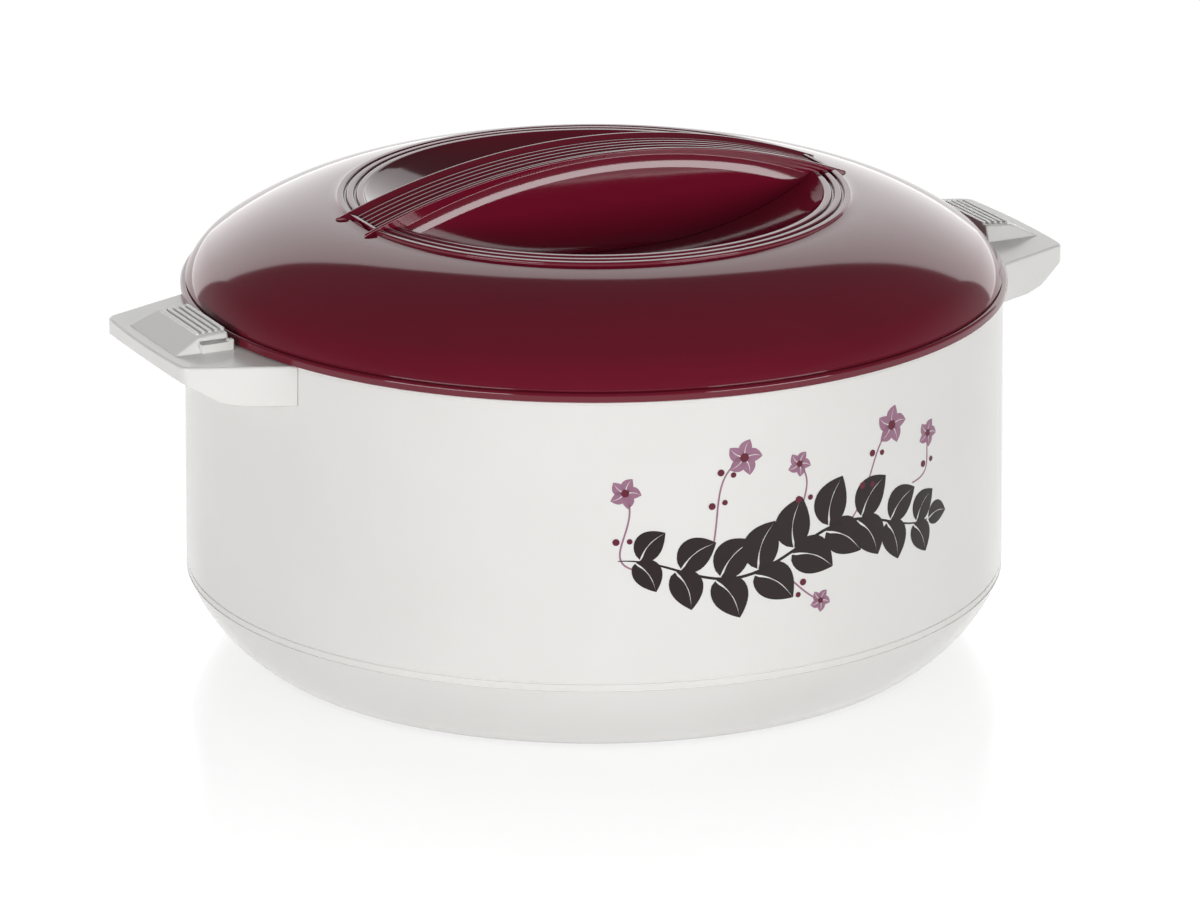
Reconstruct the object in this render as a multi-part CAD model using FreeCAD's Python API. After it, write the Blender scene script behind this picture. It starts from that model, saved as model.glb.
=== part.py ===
"""Insulated chapati casserole: foamed white body, lift-off domed lid with a bridge handle.

Millimetres. The origin is the centre of the foot, +Z is up, the two side lugs lie on X
and the handle runs along X between them. Each piece has its own function, which returns
one solid in its place on the closed casserole, or one compound for the set of screws.
"""
import FreeCAD, Part
import math
import os

V = FreeCAD.Vector
UP = V(0, 0, 1)
ORIGIN = V(0, 0, 0)

# Fits
SEAT = 0.1  # gap between two pieces of one body where they are pressed or snapped together
SNAP = 0.3  # gap round a spigot
CLEAR = 0.3  # gap that the loose lid keeps over the body
FOAM_GAP = 0.2  # foam to its mould walls

# Wall: the radius that the whole casserole follows
WALL_FOOT_R = 119.8
WALL_DRAFT = 1.1
WALL_T = 2.5
WALL_TOP_R = WALL_FOOT_R - WALL_DRAFT
WALL_IN_R = WALL_TOP_R - WALL_T

# Heights that the rest follows
SEAM_Z = 24.8
LID_Z = 106.5  # lower edge of the lid's flange

# Base: radii are worked out inward from the foot of the wall
BAND_H = 2.4
BAND_Z = SEAM_Z - BAND_H
GROOVE = 0.5
GROOVE_DEEP = 0.35
SEAM_DEEP = 0.8
SEAM_GAP = 0.3
BASE_BULGE = (WALL_FOOT_R - 8.1, BAND_Z * 0.4)
FOOT_TURN = (WALL_FOOT_R - 17.6, BAND_Z * 0.027)
FOOT_R = WALL_FOOT_R - 20.6
FOOT_RING_W = 5.2
FOOT_RECESS = 2.5
SPIGOT_R = WALL_IN_R + WALL_DRAFT - SNAP
SPIGOT_T = 2.0
SPIGOT_H = 9.2
PLUG_HOLE_R = 7.0
PLUG_CAP_H = 1.3

# Pot: its mouth leaves room for the foam inside the wall
FOAM_T = 12.7
POT_T = 0.8
POT_MOUTH_R = WALL_IN_R - FOAM_T
POT_DRAFT = 3.5
POT_LOW_R = POT_MOUTH_R - POT_DRAFT
POT_CORNER_R = 18.0
POT_FLOOR_Z = FOOT_RECESS + WALL_T + FOAM_T
BEAD_R = 1.15
BEAD_AT_R = POT_MOUTH_R + 4.5

# Rim collar
COLLAR_TOP_Z = LID_Z - CLEAR
COLLAR_LIP_H = 0.8
COLLAR_T = 3.0
COLLAR_SKIRT_H = 9.5
COLLAR_SKIRT_T = 2.1
COLLAR_SKIRT_R = WALL_IN_R - SEAT
REBATE = 1.2
REBATE_Z = COLLAR_TOP_Z - REBATE
POT_GAP = 0.7
WALL_TOP_Z = COLLAR_TOP_Z - COLLAR_LIP_H
WALL_SLOPE = WALL_DRAFT / (WALL_TOP_Z - SEAM_Z)

# Lid: heights are above LID_Z, and radii are worked out inward from the flange
FLANGE_OVERHANG = 1.3
FLANGE_R = WALL_TOP_R + FLANGE_OVERHANG
FLANGE_H = 2.4
FLANGE_SKIRT_T = 2.4
DOME_T = 2.4
DOME_FOOT = (FLANGE_R - 1.4, FLANGE_H + 0.8)
SHOULDER_MID = (FLANGE_R - 4.06, FLANGE_H + 5.46)
SHOULDER_END = (FLANGE_R - 8.0, FLANGE_H + 9.1)
CROWN_MID = (FLANGE_R - 25.42, FLANGE_H + 18.2)
CROWN_END = (FLANGE_R - 44.4, FLANGE_H + 23.3)
RING_OUT_R = CROWN_END[0] - 1.1
RING_W = 2.05
RING_PITCH = 2.9
RING_COUNT = 3
RING_FLOOR = CROWN_END[1] + 0.1
RING_CREST = RING_FLOOR + 1.0
RING_CREST_STEP = 0.1
RING_ROUND = 0.4
DISH_R = RING_OUT_R - (RING_COUNT - 1) * RING_PITCH - RING_W - 0.65
DISH_FLAT_R = 12.0
DISH_EDGE_Z = RING_FLOOR + 0.1
DISH_Z = FLANGE_H + 9.6
DISH_ARC_R = ((DISH_R - DISH_FLAT_R) ** 2 + (DISH_EDGE_Z - DISH_Z) ** 2) / (2 * (DISH_EDGE_Z - DISH_Z))
DISH_ARC_Z = DISH_Z + DISH_ARC_R

# Liner and seal: heights are above LID_Z
LINER_T = 2.0
LINER_EDGE_Z = 0.4
LINER_EDGE_R = FLANGE_R - FLANGE_SKIRT_T - SNAP
LINER_TOP_Z = 5.4
SEAL_POCKET_R = BEAD_AT_R + 1.8
PLUG_R = POT_MOUTH_R - 0.6
PLUG_BOTTOM_Z = -7.8
SEAL_H = 2.0
SEAL_SIDE_GAP = 0.4

# Handle: its arch spans from dome to dome; radii are from the centre of the arch
TRACK_END_X = RING_OUT_R - 0.1
TIP_X = RING_OUT_R + 2.9
HANDLE_RISE = 15.2
TIP_SINK = 0.6
HANDLE_ARC_R = (TIP_X ** 2 + HANDLE_RISE ** 2) / (2 * HANDLE_RISE)
HANDLE_CROWN = CROWN_END[1] - TIP_SINK + HANDLE_RISE
ARC_CENTRE_Z = LID_Z + HANDLE_CROWN - HANDLE_ARC_R
HANDLE_HALF_W = 10.0
STRIP_DROP = 0.7
STRIP_H = 1.6
TRACK_HALF_W = 6.35
SHOULDER_W = 3.0
SHOULDER_H = 5.0
SIDE_DRAFT = 5.0
HANDLE_T = 2.2
HANDLE_RIBS = 5
HANDLE_RIB_PITCH = 2.5
HANDLE_RIB_W = 1.3
HANDLE_RIB_H = 0.6
HANDLE_ROOF_R = HANDLE_ARC_R - STRIP_DROP - HANDLE_RIB_H - HANDLE_T
HANDLE_POCKET_Z = CROWN_END[1] - 1.4
HANDLE_POCKET_R = DISH_FLAT_R + math.sqrt(DISH_ARC_R ** 2 - (DISH_ARC_Z - HANDLE_POCKET_Z) ** 2)
HANDLE_HOLLOW_X = HANDLE_POCKET_R - 5.0
HANDLE_WEB_T = 1.6
HANDLE_SPAN_W = 3 * HANDLE_HALF_W  # wide enough to cut right across the handle

# Lugs: u runs out from the axis, v across, heights down from the plate
LUG_TOP_Z = LID_Z - CLEAR
LUG_EDGE_U = WALL_TOP_R + 23.5
LUG_EDGE_ARC_R = 300.0
LUG_EDGE_HALF_W = 28.0
LUG_FLARE = 0.43  # half width gained for each millimetre inward
LUG_ROOT_U = WALL_TOP_R - 8.7
LUG_CORNER_R = 4.0
LUG_PLATE_T = 2.4
LUG_SKIRT_T = 2.2
LUG_BACK_T = 2.0
LUG_EDGE_H = 3.85
LUG_DEEP = 11.5
LUG_SWEEP = [(18.6, LUG_DEEP), (14.0, LUG_DEEP - 0.5), (10.2, LUG_DEEP - 1.55)]  # in from the edge, down
LUG_SPAN = 2 * LUG_EDGE_HALF_W + LUG_EDGE_U  # wide enough to cut right across a lug
LUG_ROUND = 0.7

# Thumb pads on the lugs
PAD_U0 = FLANGE_R + 1.9
PAD_U1 = PAD_U0 + 8.8
PAD_U2 = PAD_U1 + 7.8
PAD_H0 = 4.7
PAD_H1 = 4.1
PAD_ROUND = 0.6
PAD_TOP_HALF_W = 15.0
PAD_FOOT_HALF_W = 16.8
PAD_RIBS = 5
PAD_RIB_PITCH = 1.9
PAD_RIB_W = 1.1
PAD_RIB_H = 0.6
PAD_RIB_HALF_L = 13.2
PAD_SLOT_Z = 2.4
PAD_SLOT_H = 0.6
PAD_SLOT_DEEP = 3.0
PAD_LEDGE = 0.8
PAD_TOOTH = 1.5

# Screws
SCREW_R = 1.5
SCREW_HEAD_R = 3.4
SCREW_HEAD_H = 2.0
SCREW_HOLE_R = SCREW_R + 0.4
PILOT_R = SCREW_R + 0.02
BOSS_R = SCREW_R + 2.0
LUG_SCREW_Z = LUG_TOP_Z - 7.0
LUG_SCREW_V = 23.5
LUG_SCREW_DEG = math.degrees(math.asin(LUG_SCREW_V / WALL_TOP_R))
LUG_BOSS_L = 10.5
LUG_SCREW_L = WALL_T + LUG_BOSS_L - 1.5
HANDLE_SCREW_X = DISH_R * 0.6
HANDLE_SCREW_L = 15.0
DISH_PAD_R = BOSS_R + 1.5


# Helpers
def outline(*steps):
    """Return a closed face in XZ. A step is (x, z), or (xm, zm, x, z) for an arc through the first."""
    edges = []
    start = V(steps[0][0], 0, steps[0][1])
    here = start
    for step in steps[1:]:
        if len(step) == 4:
            mid = V(step[0], 0, step[1])
            there = V(step[2], 0, step[3])
            edges.append(Part.Arc(here, mid, there).toShape())
        else:
            there = V(step[0], 0, step[1])
            edges.append(Part.makeLine(here, there))
        here = there
    if here.distanceToPoint(start) > 1e-6:
        edges.append(Part.makeLine(here, start))
    return Part.Face(Part.Wire(edges))


def turned(*steps):
    """Return the solid that an outline sweeps in one turn about Z."""
    return outline(*steps).revolve(ORIGIN, UP, 360)


def arc_inset(start, mid, end, inset):
    """Return the three points of the concentric arc that lies this far inside a convex arc."""
    arc = Part.Arc(V(start[0], 0, start[1]), V(mid[0], 0, mid[1]), V(end[0], 0, end[1]))
    circle = arc.toShape().Curve
    centre = circle.Center
    scale = (circle.Radius - inset) / circle.Radius
    points = []
    for x, z in (start, mid, end):
        points.append((centre.x + (x - centre.x) * scale, centre.z + (z - centre.z) * scale))
    return points


def wall_r(z):
    """Return the outside radius of the drafted wall at this height."""
    return WALL_TOP_R + WALL_SLOPE * (WALL_TOP_Z - z)


def block(x0, x1, y0, y1, z0, z1):
    """Return a box between two corners."""
    return Part.makeBox(x1 - x0, y1 - y0, z1 - z0, V(x0, y0, z0))


def tube(r_in, r_out, z0, z1):
    """Return a ring of rectangular section about Z."""
    return turned((r_in, z0), (r_out, z0), (r_out, z1), (r_in, z1))


def fused(shapes):
    """Return the union of some solids as one clean shape."""
    return shapes[0].multiFuse(shapes[1:]).removeSplitter()


def half_turn(shape):
    """Return a copy turned half a turn about Z."""
    copy = shape.copy()
    copy.rotate(ORIGIN, UP, 180)
    return copy


def lug_screw_axes():
    """Return the direction angles of the four lug screws."""
    angles = []
    for side in (0, 180):
        for tilt in (-LUG_SCREW_DEG, LUG_SCREW_DEG):
            angles.append(side + tilt)
    return angles


def radial(r, angle, z):
    """Return the point at this radius, angle and height."""
    turn = math.radians(angle)
    return V(r * math.cos(turn), r * math.sin(turn), z)


def radial_rod(radius, r0, r1, angle, z):
    """Return a rod that points away from the axis between two radii."""
    return Part.makeCylinder(radius, r1 - r0, radial(r0, angle, z), radial(1, angle, 0))


def screw(length):
    """Return a pan-head screw that points up from a head seated at the origin."""
    head_top = SCREW_HEAD_R - 0.9
    head = turned(
        (0, 0), (SCREW_HEAD_R, 0), (SCREW_HEAD_R, -0.7),
        (SCREW_HEAD_R - 0.2, -1.6, head_top, -SCREW_HEAD_H), (0, -SCREW_HEAD_H),
    )
    shank = turned((0, 0), (SCREW_R, 0), (SCREW_R, length - 1.5), (0.4, length), (0, length))
    recess = block(-0.4, 0.4, -1.6, 1.6, -SCREW_HEAD_H, -SCREW_HEAD_H + 1.1)
    cross = recess.copy()
    cross.rotate(ORIGIN, UP, 90)
    return fused([head, shank]).cut(recess).cut(cross)


# Base body
def outer_shell():
    """The drum wall: a drafted tube that stands on the base cup."""
    foot_z = SEAM_Z
    shell = turned(
        (WALL_FOOT_R - WALL_T, foot_z), (WALL_FOOT_R - 0.4, foot_z), (WALL_FOOT_R, foot_z + 0.4),
        (WALL_TOP_R, WALL_TOP_Z), (WALL_IN_R, WALL_TOP_Z),
    )
    for angle in lug_screw_axes():
        hole = radial_rod(SCREW_HOLE_R, WALL_IN_R - WALL_T, WALL_TOP_R + 2 * WALL_T, angle, LUG_SCREW_Z)
        shell = shell.cut(hole)
    return shell


def cup_outline(inset):
    """Return the rounded side of the base cup, moved inward, from its top down to the foot."""
    return arc_inset((WALL_FOOT_R, BAND_Z), BASE_BULGE, FOOT_TURN, inset)


def base_cup():
    """The base: a rounded bowl on a foot ring, with the spigot that centres the wall."""
    top, mid, turn = cup_outline(0)
    in_top, in_mid, in_turn = cup_outline(WALL_T)
    floor_z = FOOT_RECESS + WALL_T
    spigot_top = SEAM_Z + SPIGOT_H
    bore_r = SPIGOT_R - SPIGOT_T
    seam_in = WALL_FOOT_R - SEAM_DEEP
    groove_r = WALL_FOOT_R - GROOVE_DEEP
    ring_in = FOOT_R - FOOT_RING_W
    cup = turned(
        (0, FOOT_RECESS), (ring_in - 1.5, FOOT_RECESS), (ring_in, 0), (FOOT_R, 0), turn,
        (mid[0], mid[1], top[0], top[1]),
        (groove_r, top[1] + 0.1), (groove_r, top[1] + GROOVE), (WALL_FOOT_R, top[1] + GROOVE + 0.1),
        (WALL_FOOT_R, SEAM_Z - 2 * SEAM_GAP), (seam_in, SEAM_Z - SEAM_GAP), (seam_in, SEAM_Z),
        (SPIGOT_R, SEAM_Z), (SPIGOT_R, spigot_top - 1), (SPIGOT_R - 0.6, spigot_top), (bore_r, spigot_top),
        (bore_r, in_top[1] - 2.5), (in_mid[0], in_mid[1], in_turn[0] - 0.6, floor_z), (0, floor_z),
    )
    return cup.cut(Part.makeCylinder(PLUG_HOLE_R, SEAM_Z))


def fill_plug():
    """The cap of the foam filling hole, snapped in from below."""
    stem_r = PLUG_HOLE_R - SEAT
    cap_r = PLUG_HOLE_R + 2.2
    barb_z = FOOT_RECESS + WALL_T + SEAT
    return turned(
        (0, FOOT_RECESS - PLUG_CAP_H), (cap_r - 0.6, FOOT_RECESS - PLUG_CAP_H),
        (cap_r, FOOT_RECESS - PLUG_CAP_H + 0.6),
        (cap_r, FOOT_RECESS), (stem_r, FOOT_RECESS), (stem_r, barb_z), (stem_r + 0.5, barb_z + 0.5),
        (stem_r - 0.6, barb_z + 2), (0, barb_z + 2),
    )


def vessel(grow, top_z):
    """Return the solid shape of the pot, grown by this much, up to this height."""
    slope = POT_DRAFT / (REBATE_Z - POT_FLOOR_Z - POT_CORNER_R)
    low_r = POT_LOW_R + grow
    corner = POT_CORNER_R + grow
    floor = POT_FLOOR_Z - grow
    turn_z = floor + corner
    back = corner * (1 - math.sqrt(0.5))
    top_r = low_r + slope * (top_z - turn_z)
    return turned(
        (0, floor), (low_r - corner, floor), (low_r - back, floor + back, low_r, turn_z),
        (top_r, top_z), (0, top_z),
    )


def inner_pot():
    """The pressed steel pot: thin wall, round corner, flat rim and rolled bead."""
    pressed = vessel(POT_T, REBATE_Z)
    rim = tube(POT_MOUTH_R - POT_T, BEAD_AT_R, REBATE_Z, REBATE_Z + POT_T)
    bead = Part.makeTorus(BEAD_AT_R, BEAD_R, V(0, 0, REBATE_Z + BEAD_R))
    pot = fused([pressed, rim, bead])
    return pot.cut(vessel(0, LID_Z)).removeSplitter()


def rim_collar():
    """The ring that carries the pot and closes the foam space at the top of the wall."""
    bore_r = POT_MOUTH_R + POT_T + POT_GAP
    skirt_in = COLLAR_SKIRT_R - COLLAR_SKIRT_T
    rebate_r = BEAD_AT_R + BEAD_R + 0.25
    plate_z = COLLAR_TOP_Z - COLLAR_T
    skirt_z = plate_z - COLLAR_SKIRT_H
    collar = turned(
        (bore_r, REBATE_Z), (rebate_r, REBATE_Z), (rebate_r, COLLAR_TOP_Z),
        (WALL_TOP_R - 0.3, COLLAR_TOP_Z), (WALL_TOP_R, COLLAR_TOP_Z - 0.3), (WALL_TOP_R, WALL_TOP_Z),
        (COLLAR_SKIRT_R, WALL_TOP_Z), (COLLAR_SKIRT_R, skirt_z), (skirt_in, skirt_z),
        (skirt_in, plate_z), (bore_r, plate_z),
    )
    reach = SCREW_HEAD_R + 1
    for angle in lug_screw_axes():
        notch = block(skirt_in - 1, COLLAR_SKIRT_R + 1, -reach, reach, skirt_z - 1, plate_z)
        notch.rotate(ORIGIN, UP, angle)
        collar = collar.cut(notch)
    return collar


def body_foam():
    """The insulation that fills the space between pot, wall and base."""
    top_z = COLLAR_TOP_Z - COLLAR_T - FOAM_GAP
    in_top, in_mid, in_turn = cup_outline(WALL_T + FOAM_GAP)
    floor_z = FOOT_RECESS + WALL_T + FOAM_GAP
    spigot_in = SPIGOT_R - SPIGOT_T - FOAM_GAP
    spigot_top = SEAM_Z + SPIGOT_H + FOAM_GAP
    wall_in = WALL_T + FOAM_GAP
    skirt_in = COLLAR_SKIRT_R - COLLAR_SKIRT_T - FOAM_GAP
    skirt_z = COLLAR_TOP_Z - COLLAR_T - COLLAR_SKIRT_H - 1
    filled = turned(
        (0, floor_z), (in_turn[0] - 1.2, floor_z),
        (in_mid[0], in_mid[1], spigot_in, in_top[1] - 2.7), (spigot_in, spigot_top),
        (wall_r(spigot_top) - wall_in, spigot_top), (wall_r(skirt_z) - wall_in, skirt_z),
        (skirt_in, skirt_z), (skirt_in, top_z), (0, top_z),
    )
    sprue = Part.makeCylinder(PLUG_HOLE_R + 1, 3, V(0, 0, floor_z))
    return filled.cut(vessel(POT_T + FOAM_GAP, LID_Z)).cut(sprue)


def lug_plan(inset):
    """Return the plan outline of a lug as a face at height 0, moved inward by this much."""
    edge_v = LUG_EDGE_HALF_W - inset
    edge_u = LUG_EDGE_U - inset
    side_u = edge_u - edge_v ** 2 / (2 * LUG_EDGE_ARC_R)
    root_v = edge_v + LUG_FLARE * (side_u - LUG_ROOT_U)
    corner = [V(LUG_ROOT_U, -root_v, 0), V(side_u, -edge_v, 0), V(side_u, edge_v, 0), V(LUG_ROOT_U, root_v, 0)]
    outer = Part.Arc(corner[1], V(edge_u, 0, 0), corner[2]).toShape()
    sides = [Part.makeLine(corner[0], corner[1]), outer, Part.makeLine(corner[2], corner[3])]
    return Part.Face(Part.Wire(sides + [Part.makeLine(corner[3], corner[0])]))


def upright_edges(solid, u_min):
    """Return the vertical edges of a solid that lie beyond this distance along X."""
    found = []
    for edge in solid.Edges:
        box = edge.BoundBox
        if box.ZLength > 1 and box.XLength < 0.01 and box.YLength < 0.01 and box.XMin > u_min:
            found.append(edge)
    return found


def lug_block(inset, corner_r, z0, z1):
    """Return the plan of a lug as a block with rounded outer corners."""
    solid = lug_plan(inset).extrude(V(0, 0, z1 - z0))
    solid.translate(V(0, 0, z0))
    return solid.makeFillet(corner_r, upright_edges(solid, WALL_TOP_R))


def lug_underside():
    """Return the space below a lug's skirt, which sweeps up in a curve to the outer edge."""
    level, bend, ramp = [(LUG_EDGE_U - inward, LUG_TOP_Z - down) for inward, down in LUG_SWEEP]
    edge_z = LUG_TOP_Z - LUG_EDGE_H
    side = outline(
        (LUG_ROOT_U - WALL_T, level[1]), level, (bend[0], bend[1], ramp[0], ramp[1]),
        (LUG_EDGE_U, edge_z), (LUG_EDGE_U + WALL_T, edge_z),
        (LUG_EDGE_U + WALL_T, 0), (LUG_ROOT_U - WALL_T, 0),
    )
    space = side.extrude(V(0, LUG_SPAN, 0))
    space.translate(V(0, -LUG_SPAN / 2, 0))
    return space


def pad():
    """Return the ribbed thumb pad that stands on a lug's plate, with its side slot."""
    top = LUG_TOP_Z
    half = PAD_FOOT_HALF_W
    side = outline(
        (PAD_U0, top - 1), (PAD_U0, top + PAD_H0), (PAD_U1, top + PAD_H1),
        (PAD_U2, top + 0.15), (PAD_U2, top - 1),
    )
    body = side.extrude(V(0, 2 * half, 0))
    body.translate(V(0, -half, 0))
    section = Part.makePolygon([
        V(PAD_U0, -half, top - 1), V(PAD_U0, -half, top), V(PAD_U0, -PAD_TOP_HALF_W, top + PAD_H0),
        V(PAD_U0, PAD_TOP_HALF_W, top + PAD_H0), V(PAD_U0, half, top), V(PAD_U0, half, top - 1),
        V(PAD_U0, -half, top - 1),
    ])
    body = body.common(Part.Face(section).extrude(V(PAD_U2 - PAD_U0, 0, 0)))
    raised = [e for e in body.Edges if e.BoundBox.ZMin > top - 0.01 and e.BoundBox.ZMax > top + 1]
    body = body.makeFillet(PAD_ROUND, raised)
    slot_top = top + PAD_SLOT_Z + PAD_SLOT_H
    slot = block(PAD_U0 - 1, PAD_U1, half - PAD_SLOT_DEEP, half + 1, top + PAD_SLOT_Z, slot_top)
    ledge_end = PAD_U0 - PAD_LEDGE
    ledge = block(ledge_end, PAD_U1, half - PAD_SLOT_DEEP, half + PAD_LEDGE, top - 1, top + PAD_SLOT_Z)
    tooth = block(ledge_end, ledge_end + PAD_TOOTH, half - PAD_LEDGE, half + PAD_LEDGE, top, slot_top)
    shapes = [body.cut(slot), ledge, tooth]
    slope = (PAD_H0 - PAD_H1) / (PAD_U1 - PAD_U0)
    first = PAD_U0 + (PAD_U1 - PAD_U0 - (PAD_RIBS - 1) * PAD_RIB_PITCH) / 2
    for n in range(PAD_RIBS):
        u = first + n * PAD_RIB_PITCH
        rib_top = top + PAD_H0 - slope * (u - PAD_U0) + PAD_RIB_H
        rib = block(u - PAD_RIB_W / 2, u + PAD_RIB_W / 2, -PAD_RIB_HALF_L, PAD_RIB_HALF_L,
                    rib_top - PAD_RIB_H - 1, rib_top)
        shapes.append(rib.makeFillet(PAD_RIB_W * 0.4, upright_edges(rib, 0)))
    return fused(shapes)


def lug_right():
    """One side lug: a hollow flared plate with a swept skirt, screw bosses and thumb pad."""
    top = LUG_TOP_Z
    bottom = top - LUG_DEEP
    plate = lug_block(0, LUG_CORNER_R, bottom, top)
    rim = [e for e in plate.Edges if e.BoundBox.ZMin > top - 0.01 and e.BoundBox.XMax > LUG_ROOT_U + 1]
    plate = plate.makeFillet(LUG_ROUND, rim)
    hollow = lug_block(LUG_SKIRT_T, LUG_CORNER_R - LUG_SKIRT_T, bottom - LUG_SKIRT_T, top - LUG_PLATE_T)
    back = Part.makeCylinder(WALL_TOP_R + LUG_BACK_T, LID_Z)
    shell = plate.cut(hollow.cut(back))
    shapes = [shell, pad()]
    for tilt in (-LUG_SCREW_DEG, LUG_SCREW_DEG):
        boss_end = WALL_TOP_R + LUG_BOSS_L
        rod = radial_rod(BOSS_R, WALL_IN_R, boss_end, tilt, LUG_SCREW_Z)
        web = block(WALL_IN_R, boss_end, -1, 1, LUG_SCREW_Z, top - LUG_PLATE_T + 0.5)
        web.rotate(ORIGIN, UP, tilt)
        shapes += [rod, web]
    lug = fused(shapes).cut(lug_underside())
    high = 2 * LID_Z
    drum = turned((0, 0), (wall_r(0) + SEAT / 2, 0), (wall_r(high) + SEAT / 2, high), (0, high))
    lug = lug.cut(drum)
    for tilt in (-LUG_SCREW_DEG, LUG_SCREW_DEG):
        pilot = radial_rod(PILOT_R, WALL_IN_R, WALL_TOP_R + LUG_BOSS_L - 1, tilt, LUG_SCREW_Z)
        lug = lug.cut(pilot)
    return lug


def lug_screws():
    """The four screws that hold the lugs, driven outward from inside the wall."""
    placed = []
    seat_r = math.sqrt((wall_r(LUG_SCREW_Z) - WALL_T - SEAT / 2) ** 2 - SCREW_HEAD_R ** 2)
    for angle in lug_screw_axes():
        one = screw(LUG_SCREW_L)
        one.rotate(ORIGIN, V(0, 1, 0), 90)
        one.translate(V(seat_r, 0, LUG_SCREW_Z))
        one.rotate(ORIGIN, UP, angle)
        placed.append(one)
    return Part.makeCompound(placed)


# Seal body
def lid_seal():
    """The ring seal between pot bead and lid liner, with a lip on its inner edge."""
    low = REBATE_Z + 2 * BEAD_R + CLEAR
    high = low + SEAL_H
    r_in = PLUG_R + SEAL_SIDE_GAP
    r_out = SEAL_POCKET_R - SEAL_SIDE_GAP
    return turned(
        (r_in, high - 0.8), (r_in + 0.8, low + 0.4), (BEAD_AT_R - 1, low), (r_out - 0.5, low),
        (r_out, low + 0.5), (r_out, high - 0.4), (r_out - 0.4, high), (r_in + 0.4, high),
    )


# Lid body
def dish_z(r):
    """Return the height of the dish above LID_Z at this radius."""
    return DISH_ARC_Z - math.sqrt(DISH_ARC_R ** 2 - (r - DISH_FLAT_R) ** 2)


def dish_drop(r, drop):
    """Return the point that lies this far below the dish, square to its curve."""
    lean = math.asin((r - DISH_FLAT_R) / DISH_ARC_R)
    return (r + drop * math.sin(lean), LID_Z + dish_z(r) - drop * math.cos(lean))


def ring_steps():
    """Return the outline of the three ring beads, from the outermost inward."""
    steps = []
    for n in range(RING_COUNT):
        r = RING_OUT_R - n * RING_PITCH
        crest = LID_Z + RING_CREST + n * RING_CREST_STEP
        floor = LID_Z + RING_FLOOR
        steps += [(r, floor), (r, crest - RING_ROUND), (r - RING_ROUND, crest)]
        steps += [(r - RING_W + RING_ROUND, crest), (r - RING_W, crest - RING_ROUND)]
        if n < RING_COUNT - 1:
            steps.append((r - RING_W, floor))
    return steps


def lid_solid():
    """Return the lid's outside as a full solid: flange, dome, ring beads and dish."""
    z = LID_Z
    mid = (DISH_R + DISH_FLAT_R) / 2
    return turned(
        (0, z), (FLANGE_R - 0.3, z), (FLANGE_R, z + 0.4), (FLANGE_R, z + FLANGE_H - 0.6),
        (FLANGE_R - 0.5, z + FLANGE_H), (DOME_FOOT[0] - 0.3, z + FLANGE_H + 0.15),
        (DOME_FOOT[0] - 0.3, z + FLANGE_H + 0.55), (DOME_FOOT[0], z + DOME_FOOT[1]),
        (SHOULDER_MID[0], z + SHOULDER_MID[1], SHOULDER_END[0], z + SHOULDER_END[1]),
        (CROWN_MID[0], z + CROWN_MID[1], CROWN_END[0], z + CROWN_END[1]),
        *ring_steps(),
        (DISH_R, z + dish_z(DISH_R)),
        (mid, z + dish_z(mid), DISH_FLAT_R, z + DISH_Z), (0, z + DISH_Z),
    )


def lid_hollow(grow):
    """Return the space inside the lid shell, moved inward from it by this much."""
    z = LID_Z
    skirt_r = FLANGE_R - FLANGE_SKIRT_T - grow
    top_z = z + LINER_EDGE_Z + LINER_T - SEAT
    shoulder = arc_inset(DOME_FOOT, SHOULDER_MID, SHOULDER_END, DOME_T + grow)
    crown = arc_inset(SHOULDER_END, CROWN_MID, CROWN_END, DOME_T + grow)
    low = dish_drop(DISH_R, DOME_T + grow)
    mid = dish_drop((DISH_R + DISH_FLAT_R) / 2, DOME_T + grow)
    floor = dish_drop(DISH_FLAT_R, DOME_T + grow)
    return turned(
        (0, z - 1), (skirt_r, z - 1), (skirt_r, top_z), (shoulder[0][0], top_z),
        (shoulder[0][0], z + shoulder[0][1]),
        (shoulder[1][0], z + shoulder[1][1], shoulder[2][0], z + shoulder[2][1]),
        (crown[1][0], z + crown[1][1], crown[2][0], z + crown[2][1]),
        low, (mid[0], mid[1], floor[0], floor[1]), (0, floor[1]),
    )


def handle_arch(section, reach_x):
    """Return the solid that an outline (half width, radius) sweeps along the arch."""
    half_angle = math.degrees(math.asin(reach_x / HANDLE_ARC_R))
    centre = V(0, 0, ARC_CENTRE_Z)
    face = outline(*section)
    face.rotate(ORIGIN, UP, 90)
    face.translate(centre)
    face.rotate(centre, V(0, 1, 0), -half_angle)
    return face.revolve(centre, V(0, 1, 0), 2 * half_angle)


def handle_section(grow):
    """Return the outside section of the handle, grown at its sides by this much."""
    top = HANDLE_ARC_R
    half = HANDLE_HALF_W + grow
    shoulder_r = top - STRIP_H
    wall_w = half + SHOULDER_W
    wall_r0 = shoulder_r - SHOULDER_H
    foot_r = LID_Z + DISH_Z - 3 - ARC_CENTRE_Z
    foot_w = wall_w + (wall_r0 - foot_r) * math.tan(math.radians(SIDE_DRAFT))
    turn_w = half + SHOULDER_W * 0.72
    turn_r = shoulder_r - SHOULDER_H * 0.34
    return [
        (-foot_w, foot_r), (-wall_w, wall_r0), (-turn_w, turn_r, -half, shoulder_r),
        (-half, top - 0.3), (0.3 - half, top),
        (-TRACK_HALF_W, top - STRIP_DROP), (TRACK_HALF_W, top - STRIP_DROP),
        (half - 0.3, top), (half, top - 0.3),
        (half, shoulder_r), (turn_w, turn_r, wall_w, wall_r0), (foot_w, foot_r),
    ]


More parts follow.
